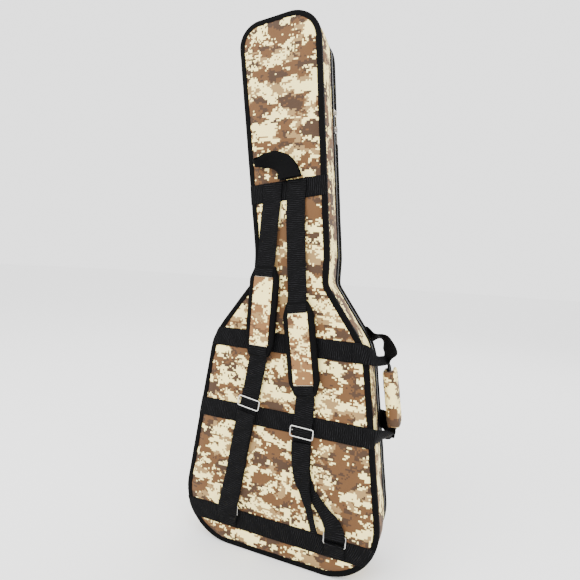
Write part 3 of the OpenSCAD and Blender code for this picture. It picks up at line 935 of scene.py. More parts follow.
@dataclass
class Wire:
    """A bent wire: a rounded frame, or a bar whose ends turn forwards to the frame."""

    name: str
    centre: Vector
    width: float
    height: float
    lean: float
    thick: float = 2.3
    corner: float = 3.5

    def build(self) -> bpy.types.Object:
        """Makes the wire as a round tube."""
        w, h, r = self.width / 2, self.height / 2, self.corner
        if self.height:
            path = []
            for x, z, start in ((w, h, 0), (-w, h, 90), (-w, -h, 180), (w, -h, 270)):
                mid_x, mid_z = x - math.copysign(r, x), z - math.copysign(r, z)
                for k in range(7):
                    a = math.radians(start + 15 * k)
                    path.append(Vector((mid_x + r * math.cos(a), 0, mid_z + r * math.sin(a))))
        else:
            path = [
                Vector((-w, -5, 0)), Vector((-w, -2.5, 0)), Vector((-w + 0.8, -0.8, 0)),
                Vector((-w + 2.5, 0, 0))
            ]
            path += [Vector((x, 0, 0)) for x in (-12, 0, 12)]
            path += [
                Vector((w - 2.5, 0, 0)), Vector((w - 0.8, -0.8, 0)), Vector((w, -2.5, 0)),
                Vector((w, -5, 0))
            ]
        turn = Matrix.Rotation(self.lean, 3, "Y")
        rows, along, run = [], [], 0.0
        count, closed = len(path), bool(self.height)
        for k, p in enumerate(path):
            before = path[k - 1] if closed or k else p
            after = path[(k + 1) % count] if closed or k < count - 1 else p
            ahead = (after - before).normalized()
            flat = Vector((0, 0, 1)) if not closed else Vector((0, 1, 0))
            side = ahead.cross(flat).normalized()
            row = []
            for i in range(12):
                a = math.tau * i / 12
                offset = (side * math.cos(a) + flat * math.sin(a)) * self.thick / 2
                row.append(self.centre + turn @ (p + offset) * MM)
            rows.append(row)
            along.append(run)
            run += (after - p).length * MM
        across = [i * self.thick * MM * math.pi / 12 for i in range(12)]
        return Sewing.loft(self.name, rows, across, along, row_closed=True, run_closed=closed, sharp=60)


@dataclass
class ZipTeeth:
    """A row of small teeth along a zip.

    Attributes:
        outline: the line that the zip follows.
        side: -1 or 1, the way the teeth's tape lies.
        y: where the teeth part, in millimetres.
        inset: how far the teeth's tops lie inside the outline, in millimetres.
        skipped: whether an x, z place in millimetres has no teeth.
    """

    outline: Outline
    side: int
    y: float
    inset: float
    skipped: Optional[Callable[[float, float], bool]] = None
    length: float = 3.0
    pitch: float = 2.6
    height: float = 1.8
    width: float = 1.7

    def build(self, name: str) -> bpy.types.Object:
        """Makes the teeth as one object."""
        line, y_axis = self.outline, Vector((0, 1, 0))
        bm = bmesh.new()
        count = int(line.length / (self.pitch * MM))
        runs = np.append(line.stations, line.length)
        for s in np.linspace(0, line.length, count, endpoint=False):
            x, z = (np.interp(s, runs, np.append(line.places[:, i], line.places[0, i])) for i in (0, 1))
            nx, nz = (np.interp(s, runs, np.append(line.normals[:, i], line.normals[0, i])) for i in (0, 1))
            if self.skipped and self.skipped(x, z):
                continue
            out = Vector((nx, 0, nz)).normalized()
            axes = Matrix((out, y_axis, out.cross(y_axis))).transposed()
            centre = point(x, self.y + self.side * self.length / 2, z) - out * (self.inset + 0.9) * MM
            size = Matrix.Diagonal((self.height * MM, self.length * MM, self.width * MM, 1))
            bmesh.ops.create_cube(bm, size=1.0, matrix=Matrix.Translation(centre) @ axes.to_4x4() @ size)
        made = Sewing.finish(bm, name, 30)
        Sewing.box_uv(made)
        return made


@dataclass
class Shell:
    """Padded panels, side walls, bindings, zip and lining of both halves."""

    sizes: BagSizes
    outline: Outline
    finishes: Finishes

    def _held(self, co: np.ndarray) -> np.ndarray:
        """Holds the rim, which is sewn under the binding."""
        depth = self.outline.depth(co[:, [0, 2]])
        return np.clip(1.0 - (depth - 0.009) / 0.004, 0, 1)

    def panels(self) -> None:
        """The padded back panel and its twin on the cover."""
        s = self.sizes
        rim = self.outline.loop(2.2, -s.face_y + 1.7)
        back = Sewing.slab(rim, 7.6 * MM, "back_panel_padded")
        Stuffing(voxel=0.0055, pressure=5, cap=0.0045, spare=0.008).fill(back, self._held)
        front = back.copy()
        front.data = back.data.copy()
        front.name = front.data.name = "front_panel_padded"
        bpy.context.scene.collection.objects.link(front)
        self._settle(back, -1, [s.upper_band_z, s.middle_band_z, s.bottom_band_z])
        co = vertices(front)
        co[:, 1] *= -1
        put_vertices(front, co)
        front.data.flip_normals()
        self._settle(front, 1, [s.front_band_z])
        for obj, body, nodes in (
            (back, "back", ("back_panel", "back_foam")), (front, "cover", ("front_panel", "front_foam"))
        ):
            Sewing.box_uv(obj)
            Piece(body, Slot.CAMO, nodes).join(obj, self.finishes)

    def _settle(self, obj: bpy.types.Object, way: int, bands: Sequence[float]) -> None:
        """Crowns a panel's face and holds it down where bands cross it.

        Args:
            obj: the panel.
            way: -1 for the strap side, 1 for the cover.
            bands: heights of the bands in millimetres.
        """
        s = self.sizes
        top_y, bed_y, bed_rise, lining_y = 0.0572, 0.0542, 0.003, 0.0443
        co = vertices(obj)
        depth = self.outline.depth(co[:, [0, 2]])
        face = np.abs(co[:, 1]) > (s.face_y - 5) * MM
        crown = np.clip((depth - 0.008) / 0.035, 0, 1)
        crown = np.sin(crown * math.pi / 2) * 0.0034
        for k in np.nonzero(face)[0]:
            x, y, z = co[k]
            flat = Vector((x, 0, z))
            out = abs(y) + crown[k] + 0.0007 * ripple(flat, 0.05, 3.0) + 0.0005 * ripple(flat, 0.022, 9.0)
            clear = [abs(z - band * MM) - s.web_w / 2 * MM for band in bands]
            if way < 0:
                clear.append(self._from_neck_band(x, z))
            beds = [bed_y + bed_rise * smooth((away + 0.001) / 0.014) for away in clear]
            co[k, 1] = way * min(out, top_y, *beds)
        back = ~face
        co[back, 1] = way * np.maximum(np.abs(co[back, 1]), lining_y)
        put_vertices(obj, co)

    def _from_neck_band(self, x: float, z: float) -> float:
        """Distance in metres from the edge of the leaning neck band."""
        t = math.radians(self.sizes.tilt)
        w = -x * math.sin(t) + (z - self.sizes.bend_z * MM) * math.cos(t)
        return abs(w - self.sizes.neck_band_up * MM) - self.sizes.web_w / 2 * MM

    def _ring(
        self, name: str, profile: Sequence[tuple[float, float]], piece: Piece,
        wave: Optional[Callable] = None, closed: bool = True, sharp: float = 40
    ) -> bpy.types.Object:
        """A strip or tube all round the outline.

        Args:
            name: name of the piece.
            profile: inset and y of each line of the strip, in millimetres.
            piece: how it joins the frame.
            wave: extra inset and y at a point, in millimetres.
            closed: whether the profile is a closed section.
            sharp: angle from which edges stay sharp.

        Returns:
            The piece.
        """
        rows = [self.outline.loop(t, y, wave) for t, y in profile]
        run, along = 0.0, []
        for k, (t, y) in enumerate(profile):
            if k:
                run += math.dist(profile[k - 1], (t, y)) * MM
            along.append(run)
        made = Sewing.loft(name, rows, list(self.outline.stations), along, row_closed=True, run_closed=closed,
                           wrap=self.outline.length, sharp=sharp)
        return piece.join(made, self.finishes)

    def walls(self) -> None:
        """The camouflage side wall, the cover's rim and both bindings."""
        s = self.sizes

        def sag(p: Vector) -> tuple[float, float]:
            """Wrinkles of the side wall, in millimetres."""
            return 0.9 * ripple(p, 0.06, 2.0) + 0.5 * ripple(p, 0.02, 4.0), 0.0

        def hand(p: Vector) -> tuple[float, float]:
            """The unevenness of a binding sewn by hand, in millimetres."""
            return 0.35 * ripple(p, 0.03, 6.0), 0.25 * ripple(p, 0.045, 8.0)

        steps = 12
        outer = []
        for k in range(steps + 1):
            a = k / steps
            outer.append((1.3 - 2.0 * math.sin(math.pi * a), -43.5 + a * (s.zip_y - s.tape_w + 43.5)))
        wall = outer + [(6.0, 13.6), (7.5, -10), (7.5, -43)]
        made = self._ring("side_wall_padded", wall, Piece("back", Slot.CAMO, ("side_wall",)), sag)
        lip = s.zip_y + s.tape_w
        rim = [
            (2.2, lip - 0.5), (1.4, lip + 0.4), (1.6, lip + 1.6), (8.5, lip + 1.5),
            (8.5, s.zip_y + s.gap + 0.2), (4.6, s.zip_y + s.gap + 0.2), (4.4, lip - 2)
        ]
        self._ring("cover_rim", rim, Piece("cover", Slot.CAMO, ("front_rim",)))
        for way, body, node in ((-1, "back", "back_binding"), (1, "cover", "front_binding")):
            edge = [
                (s.binding_w, 53.4), (s.binding_w - 1, 54.1), (7, 54.6), (3.2, 54.7), (1.0, 54.2),
                (0.1, 53.0), (-0.3, 50.5), (-0.3, 47), (0.0, 44.2), (0.8, 43.0), (1.7, 43.2), (1.9, 47),
                (1.9, 51), (3.6, 52.2), (s.binding_w - 0.6, 52.5)
            ]
            self._ring(
                f"{body}_edge_binding", [(t, way * y) for t, y in edge], Piece(body, Slot.BINDING, (node,)),
                hand
            )

    def zips(self) -> None:
        """Zip tapes and rows of teeth on both halves."""
        s = self.sizes
        for side, body, tape, teeth in (
            (-1, "back", "zip_tape_back", "zip_teeth_back"),
            (1, "cover", "zip_tape_front", "zip_teeth_front")
        ):
            near = s.zip_y + side * s.gap
            far = s.zip_y + side * s.tape_w
            strip = [
                (3.6, near), (2.7, near), (2.5, near + side * 4), (2.2, near + side * 9),
                (1.6, far - side * 0.6), (1.2, far + side * 1.5), (3.8, far + side * 1.5),
                (4.0, near + side * 6)
            ]
            self._ring(f"{body}_zip_tape", strip, Piece(body, Slot.ZIP_TAPE, (tape,)), None)
            row = ZipTeeth(self.outline, side, near, 0.55, self._turning).build(f"{body}_zip_teeth")
            Piece(body, Slot.ZIP_TEETH, (teeth,)).join(row, self.finishes)

    def _turning(self, x: float, z: float, spare: float = 0) -> bool:
        """Whether a place in millimetres is on the stretch of wall with no zip, or within a spare of it."""
        s = self.sizes
        return x < -s.shoulder_w / 2 and abs(z - s.bout_z) < s.turn_len / 2 + spare

    def turning_cloth(self) -> None:
        """The fabric where the cover turns on the back, over the end of the zip."""
        s = self.sizes
        lines, pitch, reach = 15, 2.2, 15.4
        chosen = [k for k, (x, z) in enumerate(self.outline.places) if self._turning(x, z, 6)]
        chosen.sort(key=lambda k: self.outline.places[k][1])
        rows, across = [], [i * pitch * MM for i in range(lines)]
        levels = [s.zip_y - reach + pitch * i for i in range(lines)]
        for k in chosen:
            (x, z), (nx, nz) = self.outline.places[k], self.outline.normals[k]
            row = []
            for y in levels:
                t = 0.3 - 0.5 * math.cos((y - s.zip_y) / reach * math.pi / 2)
                row.append(point(x - nx * t, y, z - nz * t))
            rows.append(row)
        along = [i * 6 * MM for i in range(len(rows))]
        made = Sewing.loft("turning_cloth", rows, across, along)
        Sewing.thicken(made, 0.8)
        self.finishes.dress(made, Slot.CAMO)
        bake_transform(made)
        LOG.info("%s bends between back and cover", made.name)

    def linings(self) -> None:
        """The lining inside the back half and inside the cover."""
        s = self.sizes

        def loose(p: Vector) -> tuple[float, float]:
            """Soft waves of the lining, in millimetres."""
            return 0.25 * ripple(p, 0.05, 11), 0.3 * ripple(p, 0.06, 12)

        for way, body, node, lip in (
            (-1, "back", "back_lining", s.zip_y - 0.6), (1, "cover", "front_lining", s.zip_y + 0.6)
        ):
            floor = way * 43.4
            profile = [
                (9.05, lip), (9.5, lip), (9.7, (lip + floor) / 2), (9.8, floor - way * 4),
                (11.5, floor - way * 1.2), (16, floor)
            ]
            profile += [(22, floor + way * 0.2), (30, floor - way * 0.3)]
            rows = [self.outline.loop(t, y, loose) for t, y in profile]
            along = [k * 8 * MM for k in range(len(rows))]
            made = Sewing.loft(
                f"{body}_lining_cloth", rows, list(self.outline.stations), along, row_closed=True,
                wrap=self.outline.length
            )
            Sewing.box_uv(made)
            Piece(body, Slot.LINING, (node,)).join(made, self.finishes)

    def bands(self) -> None:
        """Webbing bands sewn over the back, and the one on the cover."""
        s = self.sizes
        t = math.radians(s.tilt)
        lies = Vector((math.cos(t), 0, math.sin(t)))
        neck = s.leaned(0, s.neck_band_up)
        half_neck = s.neck_w / 2 + 9.5 * s.neck_band_up / s.neck_len
        up = Vector((-math.sin(t), 0, math.cos(t)))
        neck_piece = Piece("back", Slot.WEBBING, ("neck_band",))
        self._band(
            "neck_band_webbing", point(neck[0], -BAND_Y, neck[1]), lies, up, half_neck - 0.5, neck_piece
        )
        level, rise = Vector((1, 0, 0)), Vector((0, 0, 1))
        for body, name, y, z in (
            ("back", "upper_band", -BAND_Y, s.upper_band_z),
            ("back", "middle_band", -BAND_Y, s.middle_band_z),
            ("back", "bottom_band", -BAND_Y, s.bottom_band_z),
            ("cover", "front_band", BAND_Y, s.front_band_z),
        ):
            self._band(
                f"{name}_webbing", point(0, y, z), level, rise, None, Piece(body, Slot.WEBBING, (name,))
            )

    def _reach(self, z: float) -> float:
        """Half width of the outline at a height, in millimetres."""
        right = [x for x, height in self.outline.places if abs(height - z) < 4 and x > 0]
        return float(np.mean(right))

    def _band(
        self, name: str, centre: Vector, lies: Vector, up: Vector, half: Optional[float], piece: Piece
    ) -> None:
        """One band whose ends follow the outline.

        Args:
            name: name of the piece.
            centre: middle of the band.
            lies: direction along the band.
            up: direction across the band.
            half: half its length in millimetres, or None to follow the outline.
            piece: how it joins the frame.
        """
        s = self.sizes
        way = 1 if centre.y > 0 else -1
        lines = 9
        columns = 61
        rows = []
        for i in range(columns):
            a = -1 + 2 * i / (columns - 1)
            row = []
            for j in range(lines):
                b = (-1 + 2 * j / (lines - 1)) * s.web_w / 2
                height = centre.z / MM + b * up.z
                long = (half if half else self._reach(height)) - 0.4
                p = centre + lies * (a * long * MM) + up * (b * MM)
                bow = 1.2 * (1 - a * a) ** 0.5 if abs(a) < 1 else 0
                p.y = way * (55.0 + bow + 0.25 * ripple(p, 0.04, 5)) * MM
                row.append(p)
            rows.append(row)
        across = [(-1 + 2 * j / (lines - 1)) * s.web_w / 2 * MM for j in range(lines)]
        along = [
            (-1 + 2 * i / (columns - 1)) * (half or self._reach(centre.z / MM)) * MM for i in range(columns)
        ]
        made = Sewing.loft(name, rows, across, along)
        if sum(f.normal.y for f in made.data.polygons) * way < 0:
            made.data.flip_normals()
        Sewing.thicken(made, 1.4)
        piece.join(made, self.finishes)


@dataclass
class Pocket:
    """The zipped pocket on the cover."""

    sizes: BagSizes
    finishes: Finishes
    outline: Outline = field(init=False)
    face: float = field(init=False)

    def __post_init__(self) -> None:
        """Works out the pocket's outline and the depth of its face."""
        self.outline = pocket_outline(self.sizes)
        self.face = self.sizes.face_y - 1 + self.sizes.pocket_d

    def _ring(
        self, name: str, profile: Sequence[tuple[float, float]], piece: Piece,
        wave: Optional[Callable] = None
    ) -> bpy.types.Object:
        """A closed section all round the pocket."""
        rows = [self.outline.loop(t, y, wave) for t, y in profile]
        along = [k * 4 * MM for k in range(len(rows))]
        made = Sewing.loft(
            name, rows, list(self.outline.stations), along, row_closed=True, run_closed=True,
            wrap=self.outline.length
        )
        return piece.join(made, self.finishes)

    def build(self) -> None:
        """Makes the wall, panel, binding and zip."""
        face = self.face

        def sag(p: Vector) -> tuple[float, float]:
            """Wrinkles of the pocket's wall."""
            return 0.8 * ripple(p, 0.05, 21.0), 0.0

        wall = [
            (0.4, 53.6), (-0.6, 58), (-1.0, 62), (-0.9, 66), (-0.2, face - 3.6), (0.2, face - 0.1),
            (2.8, face - 0.2), (2.9, 63), (2.9, 53.6)
        ]
        made = self._ring("pocket_wall_cloth", wall, Piece("cover", Slot.CAMO, ("pocket_wall",)), sag)
        near = face + 0.6
        rim = self.outline.loop(2.0, near + 0.6)
        pad = Sewing.slab(rim, 2.6 * MM, "pocket_panel_padded")
        Stuffing(voxel=0.006, pressure=4, cap=0.003, spare=0.008).fill(pad, self._held)
        co = vertices(pad)
        depth = self.outline.depth(co[:, [0, 2]])
        front = co[:, 1] > (near + 2) * MM
        crown = np.sin(np.clip((depth - 0.006) / 0.05, 0, 1) * math.pi / 2) * 0.006
        for k in np.nonzero(front)[0]:
            p = Vector((co[k, 0], 0, co[k, 2]))
            co[k, 1] = min(
                co[k, 1] + crown[k] + 0.0012 * ripple(p, 0.07, 31) + 0.0006 * ripple(p, 0.025, 32), 0.0865
            )
        co[~front, 1] = np.maximum(co[~front, 1], (near + 0.1) * MM)
        put_vertices(pad, co)
        Sewing.box_uv(pad)
        Piece("pocket_front", Slot.CAMO, ("pocket_panel",)).join(pad, self.finishes)
        w = self.sizes.binding_w - 2
        edge = [
            (w, near + 3.2), (w - 1, near + 4.0), (4, near + 4.4), (1, near + 4.0), (-0.1, near + 2.6),
            (-0.1, near + 0.2), (1.2, near + 0.1), (1.5, near + 2.4), (w, near + 2.6)
        ]
        self._ring("pocket_edge_binding", edge, Piece("pocket_front", Slot.BINDING, ("pocket_binding",)))
        wall_teeth = ZipTeeth(self.outline, -1, face - 0.1, -1.5).build("pocket_zip_teeth_wall")
        Piece("cover", Slot.ZIP_TEETH, ("pocket_teeth_wall",)).join(wall_teeth, self.finishes)
        panel_teeth = ZipTeeth(self.outline, 1, near + 0.1, -1.5).build("pocket_zip_teeth_panel")
        Piece("pocket_front", Slot.ZIP_TEETH, ("pocket_teeth_panel",)).join(panel_teeth, self.finishes)

    def _held(self, co: np.ndarray) -> np.ndarray:
        """Holds the rim, which is sewn under the binding."""
        depth = self.outline.depth(co[:, [0, 2]])
        return np.clip(1.0 - (depth - 0.008) / 0.004, 0, 1)


@dataclass
class ShoulderStrap:
    """One shoulder strap, from the neck band to its ring."""

    side: str
    top_x: float
    hinge_z: float
    pad_top: tuple[float, float]
    pad_foot: tuple[float, float]
    slide: tuple[float, float]
    tail_front: Sequence[tuple[float, float, float, float]]
    tail_back: Sequence[tuple[float, float, float, float]]
    ring_x: float
    finishes: Finishes
    sizes: BagSizes = field(default_factory=BagSizes)
    pad_w: float = 62
    facing_w: float = 40
    pad_t: float = 13
    pad_y: float = -58

    def _axes(self) -> tuple[Vector, Vector]:
        """Directions down the pad and across it."""
        top, foot = point(self.pad_top[0], 0, self.pad_top[1]), point(self.pad_foot[0], 0, self.pad_foot[1])
        down = (foot - top).normalized()
        return down, Vector((-down.z, 0, down.x))

    def _pad_outline(self) -> Outline:
        """The pad's outline, with tapered ends."""
        top, foot = Vector(self.pad_top), Vector(self.pad_foot)
        down = (foot - top).normalized()
        across = Vector((-down.y, down.x))
        wide, slim, taper = self.pad_w / 2, self.sizes.web_w / 2 + 2, 26
        corners = [
            (foot + across * slim, 5), (foot - down * taper + across * wide, 14),
            (top + down * taper + across * wide, 14), (top + across * slim, 5), (top - across * slim, 5),
            (top + down * taper - across * wide, 14), (foot - down * taper - across * wide, 14),
            (foot - across * slim, 5),
        ]
        return Outline([(p.x, p.y, r) for p, r in corners], 4.0)

    def _on_pad(self, tree: BVHTree, p: Vector) -> float:
        """y of the pad's front under a point, or the point's own."""
        hit = tree.ray_cast(Vector((p.x, -0.2, p.z)), Vector((0, 1, 0)))
        return hit[0].y if hit[0] is not None else p.y

    def build(self) -> None:
        """Makes every piece of the strap."""
        upper, lower = f"strap_upper_{self.side}", f"strap_lower_{self.side}"
        self._pad(upper)
        self._webbing(upper)
        self._tail(lower)
        ring = Wire(f"ring_wire_{self.side}", point(self.ring_x, RING_Y, 79.2), 42.0, 21.6, 0.0)
        Piece(lower, Slot.WIRE, (f"ring_{self.side}",)).join(ring.build(), self.finishes)
        lean = math.atan2(self.pad_foot[0] - self.slide[0], self.pad_foot[1] - self.slide[1])
        middle = point(self.slide[0], -65.6, self.slide[1])
        frame = Wire(f"slide_wire_{self.side}", middle, 46.0, 20.0, lean)
        bar = Wire(f"slide_bar_{self.side}", middle + Vector((0, 5.6 * MM, 0)), 46.0, 0.0, lean)
        Piece(
            f"slide_{self.side}", Slot.WIRE, (f"strap_slide_{self.side}",)
        ).join(frame.build(), self.finishes)
        Piece(f"slide_{self.side}", Slot.WIRE).join(bar.build(), self.finishes)
        self._tab()

    def _pad(self, body: str) -> None:
        """The stuffed pad with its binding and camouflage facing."""
        outline = self._pad_outline()
        middle = self.pad_y - self.pad_t / 2
        pad = Sewing.slab(
            outline.loop(2.0, middle - self.pad_t / 2 + 2.4), (self.pad_t - 4.8) * MM,
            f"pad_base_{self.side}"
        )
        Stuffing(voxel=0.004, pressure=4, cap=0.0022).fill(pad)
        co = vertices(pad)
        depth = outline.depth(co[:, [0, 2]])
        pinch = 0.55 + 0.45 * np.sin(np.clip(depth / 0.012, 0, 1) * math.pi / 2)
        co[:, 1] = middle * MM + (co[:, 1] - middle * MM) * pinch
        put_vertices(pad, co)
        Sewing.box_uv(pad)
        Piece(body, Slot.BINDING, (f"pad_{self.side}",)).join(pad, self.finishes)
        bm = bmesh.new()
        bm.from_mesh(pad.data)
        tree = BVHTree.FromBMesh(bm)
        bm.free()
        self._edge(body, outline, middle)
        self._facing(body, tree)
        self._seams(body, tree)

    def _edge(self, body: str, outline: Outline, middle: float) -> None:
        """The binding round the pad."""

        def hand(p: Vector) -> tuple[float, float]:
            """The unevenness of a sewn edge, in millimetres."""
            return 0.3 * ripple(p, 0.02, 41), 0.2 * ripple(p, 0.02, 42)

        h = self.pad_t / 2
        profile = [
            (11, middle - h + 1.2), (9, middle - h + 0.2), (4, middle - h + 0.6), (0.8, middle - h * 0.62),
            (-0.2, middle - 2), (-0.2, middle + 2), (0.8, middle + h * 0.62), (4, middle + h - 0.6),
            (9, middle + h - 0.3), (10, middle + h - 1.6), (5, middle + 3), (5, middle - 3),
            (10, middle - h + 2.4)
        ]
        rows = [outline.loop(t, y, hand) for t, y in profile]
        along = [k * 3 * MM for k in range(len(rows))]
        edge = Sewing.loft(
            f"pad_edge_{self.side}", rows, list(outline.stations), along, row_closed=True, run_closed=True,
            wrap=outline.length
        )
        Piece(body, Slot.BINDING, (f"pad_binding_{self.side}",)).join(edge, self.finishes)

    def _facing_run(self) -> tuple[Vector, float]:
        """Top of the camouflage facing, and its length in millimetres."""
        down, _ = self._axes()
        top = point(self.pad_top[0], 0, self.pad_top[1]) + down * 20 * MM
        return top, (Vector(self.pad_foot) - Vector(self.pad_top)).length - 40

    def _facing(self, body: str, tree: BVHTree) -> None:
        """The camouflage facing, which lies on the pad."""
        down, across = self._axes()
        top, length = self._facing_run()
        steps, spread = 35, [j / 5 - 1 for j in range(11)]
        rows = []
        for i in range(steps + 1):
            place = top + down * (length * i / steps * MM)
            inside = min(i, steps - i, 1)
            row = []
            for u in spread:
                p = place + across * (u * self.facing_w / 2 * MM)
                crown = 0.6 * (1 - u**2) * inside
                p.y = self._on_pad(tree, p) - (0.5 + crown + 0.35 * ripple(p, 0.02, 44)) * MM
                row.append(p)
            rows.append(row)
        widths = [u * self.facing_w / 2 * MM for u in spread]
        lengths = [length * i / steps * MM for i in range(steps + 1)]
        face = Sewing.loft(f"pad_facing_{self.side}", rows, widths, lengths)
        if sum(f.normal.y for f in face.data.polygons) > 0:
            face.data.flip_normals()
        Sewing.thicken(face, 0.9)
        Sewing.box_uv(face)
        Piece(body, Slot.CAMO).join(face, self.finishes, self.finishes.pad_canvas)

    def _seams(self, body: str, tree: BVHTree) -> None:
        """The pale stitching across both ends of the facing."""
        down, across = self._axes()
        top, length = self._facing_run()
        for name, share in (("top", 0.013), ("foot", 0.987)):
            place = top + down * (length * share * MM)
            stops = []
            for k in range(7):
                p = place + across * ((k / 3 - 1) * 19 * MM)
                p.y = self._on_pad(tree, p) - 1.5 * MM
                stops.append((p, down))
            seam = Strip(f"pad_seam_{name}_{self.side}", stops, 1.1, 0.6, wave=0.1).build()
            Piece(body, Slot.CAMO).join(seam, self.finishes, self.finishes.thread)

    def _webbing(self, body: str) -> None:
        """Webbing above and below the pad, and the end sewn to the neck band."""
        s = self.sizes
        down, across = self._axes()
        x_axis = Vector((1, 0, 0))
        top = point(self.top_x, 0, self.hinge_z)
        pad_top = point(self.pad_top[0], 0, self.pad_top[1])
        drop = (pad_top - top).normalized()
        side = Vector((-drop.z, 0, drop.x))

        def at(p: Vector, y: float) -> Vector:
            """A point at a given y in millimetres."""
            return Vector((p.x, y * MM, p.z))

        stops = [
            (at(top - drop * 12 * MM, -58.6), x_axis * 0.7 + side * 0.3), (at(top, -58.8), side),
            (at(top + drop * 14 * MM, -60.4), side), (at(top + drop * 34 * MM, -62.6), side)
        ]
        stops += [
            (at(top.lerp(pad_top, 0.5), -63.6), side), (at(pad_top - drop * 22 * MM, -63.4), side),
            (at(pad_top - drop * 3 * MM, -66.4), (side + across).normalized()),
            (at(pad_top + down * 10 * MM, -71.6), across), (at(pad_top + down * 22 * MM, -72.0), across)
        ]
        made = Strip(f"strap_top_webbing_{self.side}", stops, s.web_w, s.web_t, seed=50).build()
        self.finishes.dress(made, Slot.WEBBING)
        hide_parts(f"strap_top_{self.side}")
        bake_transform(made)
        LOG.info("%s bends between back and %s", made.name, body)
        pad_foot = point(self.pad_foot[0], 0, self.pad_foot[1])
        slide = point(self.slide[0], 0, self.slide[1])
        run = (slide - pad_foot).normalized()
        side = Vector((-run.z, 0, run.x))
        stops = [
            (at(pad_foot - down * 22 * MM, -72.0), across), (at(pad_foot - down * 10 * MM, -71.6), across),
            (at(pad_foot - down * 1 * MM, -67.6), (side + across).normalized()),
            (at(pad_foot + run * 7 * MM, -63.4), side), (at(slide - run * 14 * MM, -62.9), side),
            (at(slide, -62.8), side), (at(slide + run * 12 * MM, -62.8), side)
        ]
        made = Strip(f"strap_middle_webbing_{self.side}", stops, s.web_w, s.web_t, seed=60).build()
        Piece(body, Slot.WEBBING, (f"strap_mid_{self.side}",)).join(made, self.finishes)
        foot = point(self.top_x, -58.6, self.hinge_z + 3)
        stops = [(foot + Vector(v), x_axis) for v in ((0, 0, 0), (0, 0, 16 * MM), (0, -0.0002, 36 * MM))]
        end = Strip(f"strap_end_webbing_{self.side}", stops, s.web_w, 2.6, seed=70).build()
        Piece("back", Slot.WEBBING, (f"strap_end_{self.side}",)).join(end, self.finishes)

    def _tail(self, body: str) -> None:
        """The two layers of webbing from the strap slide to the ring."""
        s = self.sizes
        for name, route, node in (
            ("front", self.tail_front, (f"strap_tail_{self.side}",)), ("back", self.tail_back, ())
        ):
            places = [point(x, y, z) for x, y, z, _ in route]
            stops = []
            for k, p in enumerate(places):
                ahead = places[min(k + 1, len(places) - 1)] - places[max(k - 1, 0)]
                flat = Vector((-ahead.z, 0, ahead.x)).normalized()
                stops.append((p, flat if flat.x > 0 else -flat))
            made = Strip(
                f"strap_tail_{name}_{self.side}", stops, s.web_w, s.web_t, widths=[w for *_, w in route],
                seed=80
            ).build()
            Piece(body, Slot.WEBBING, node).join(made, self.finishes)

    def _tab(self) -> None:
        """The tab that holds the ring, folded round its lower bar."""
        s = self.sizes
        x_axis = Vector((1, 0, 0))
        x, y, z = self.ring_x, RING_Y, 68.4
        r = 2.9
        stops = [(point(x, -57.0, 45), x_axis), (point(x, -57.4, 56), x_axis)]
        for angle in range(-60, 241, 30):
            a = math.radians(angle)
            stops.append((point(x, y + r * math.cos(a), z + r * math.sin(a)), x_axis))
        stops += [(point(x, -59.6, 56), x_axis), (point(x, -59.0, 44), x_axis)]
        made = Strip(
            f"ring_tab_webbing_{self.side}", stops, s.web_w - 1, 1.4, spacing=2.5, wave=0.05, seed=90
        ).build()
        Piece("back", Slot.WEBBING, (f"ring_tab_{self.side}",)).join(made, self.finishes)


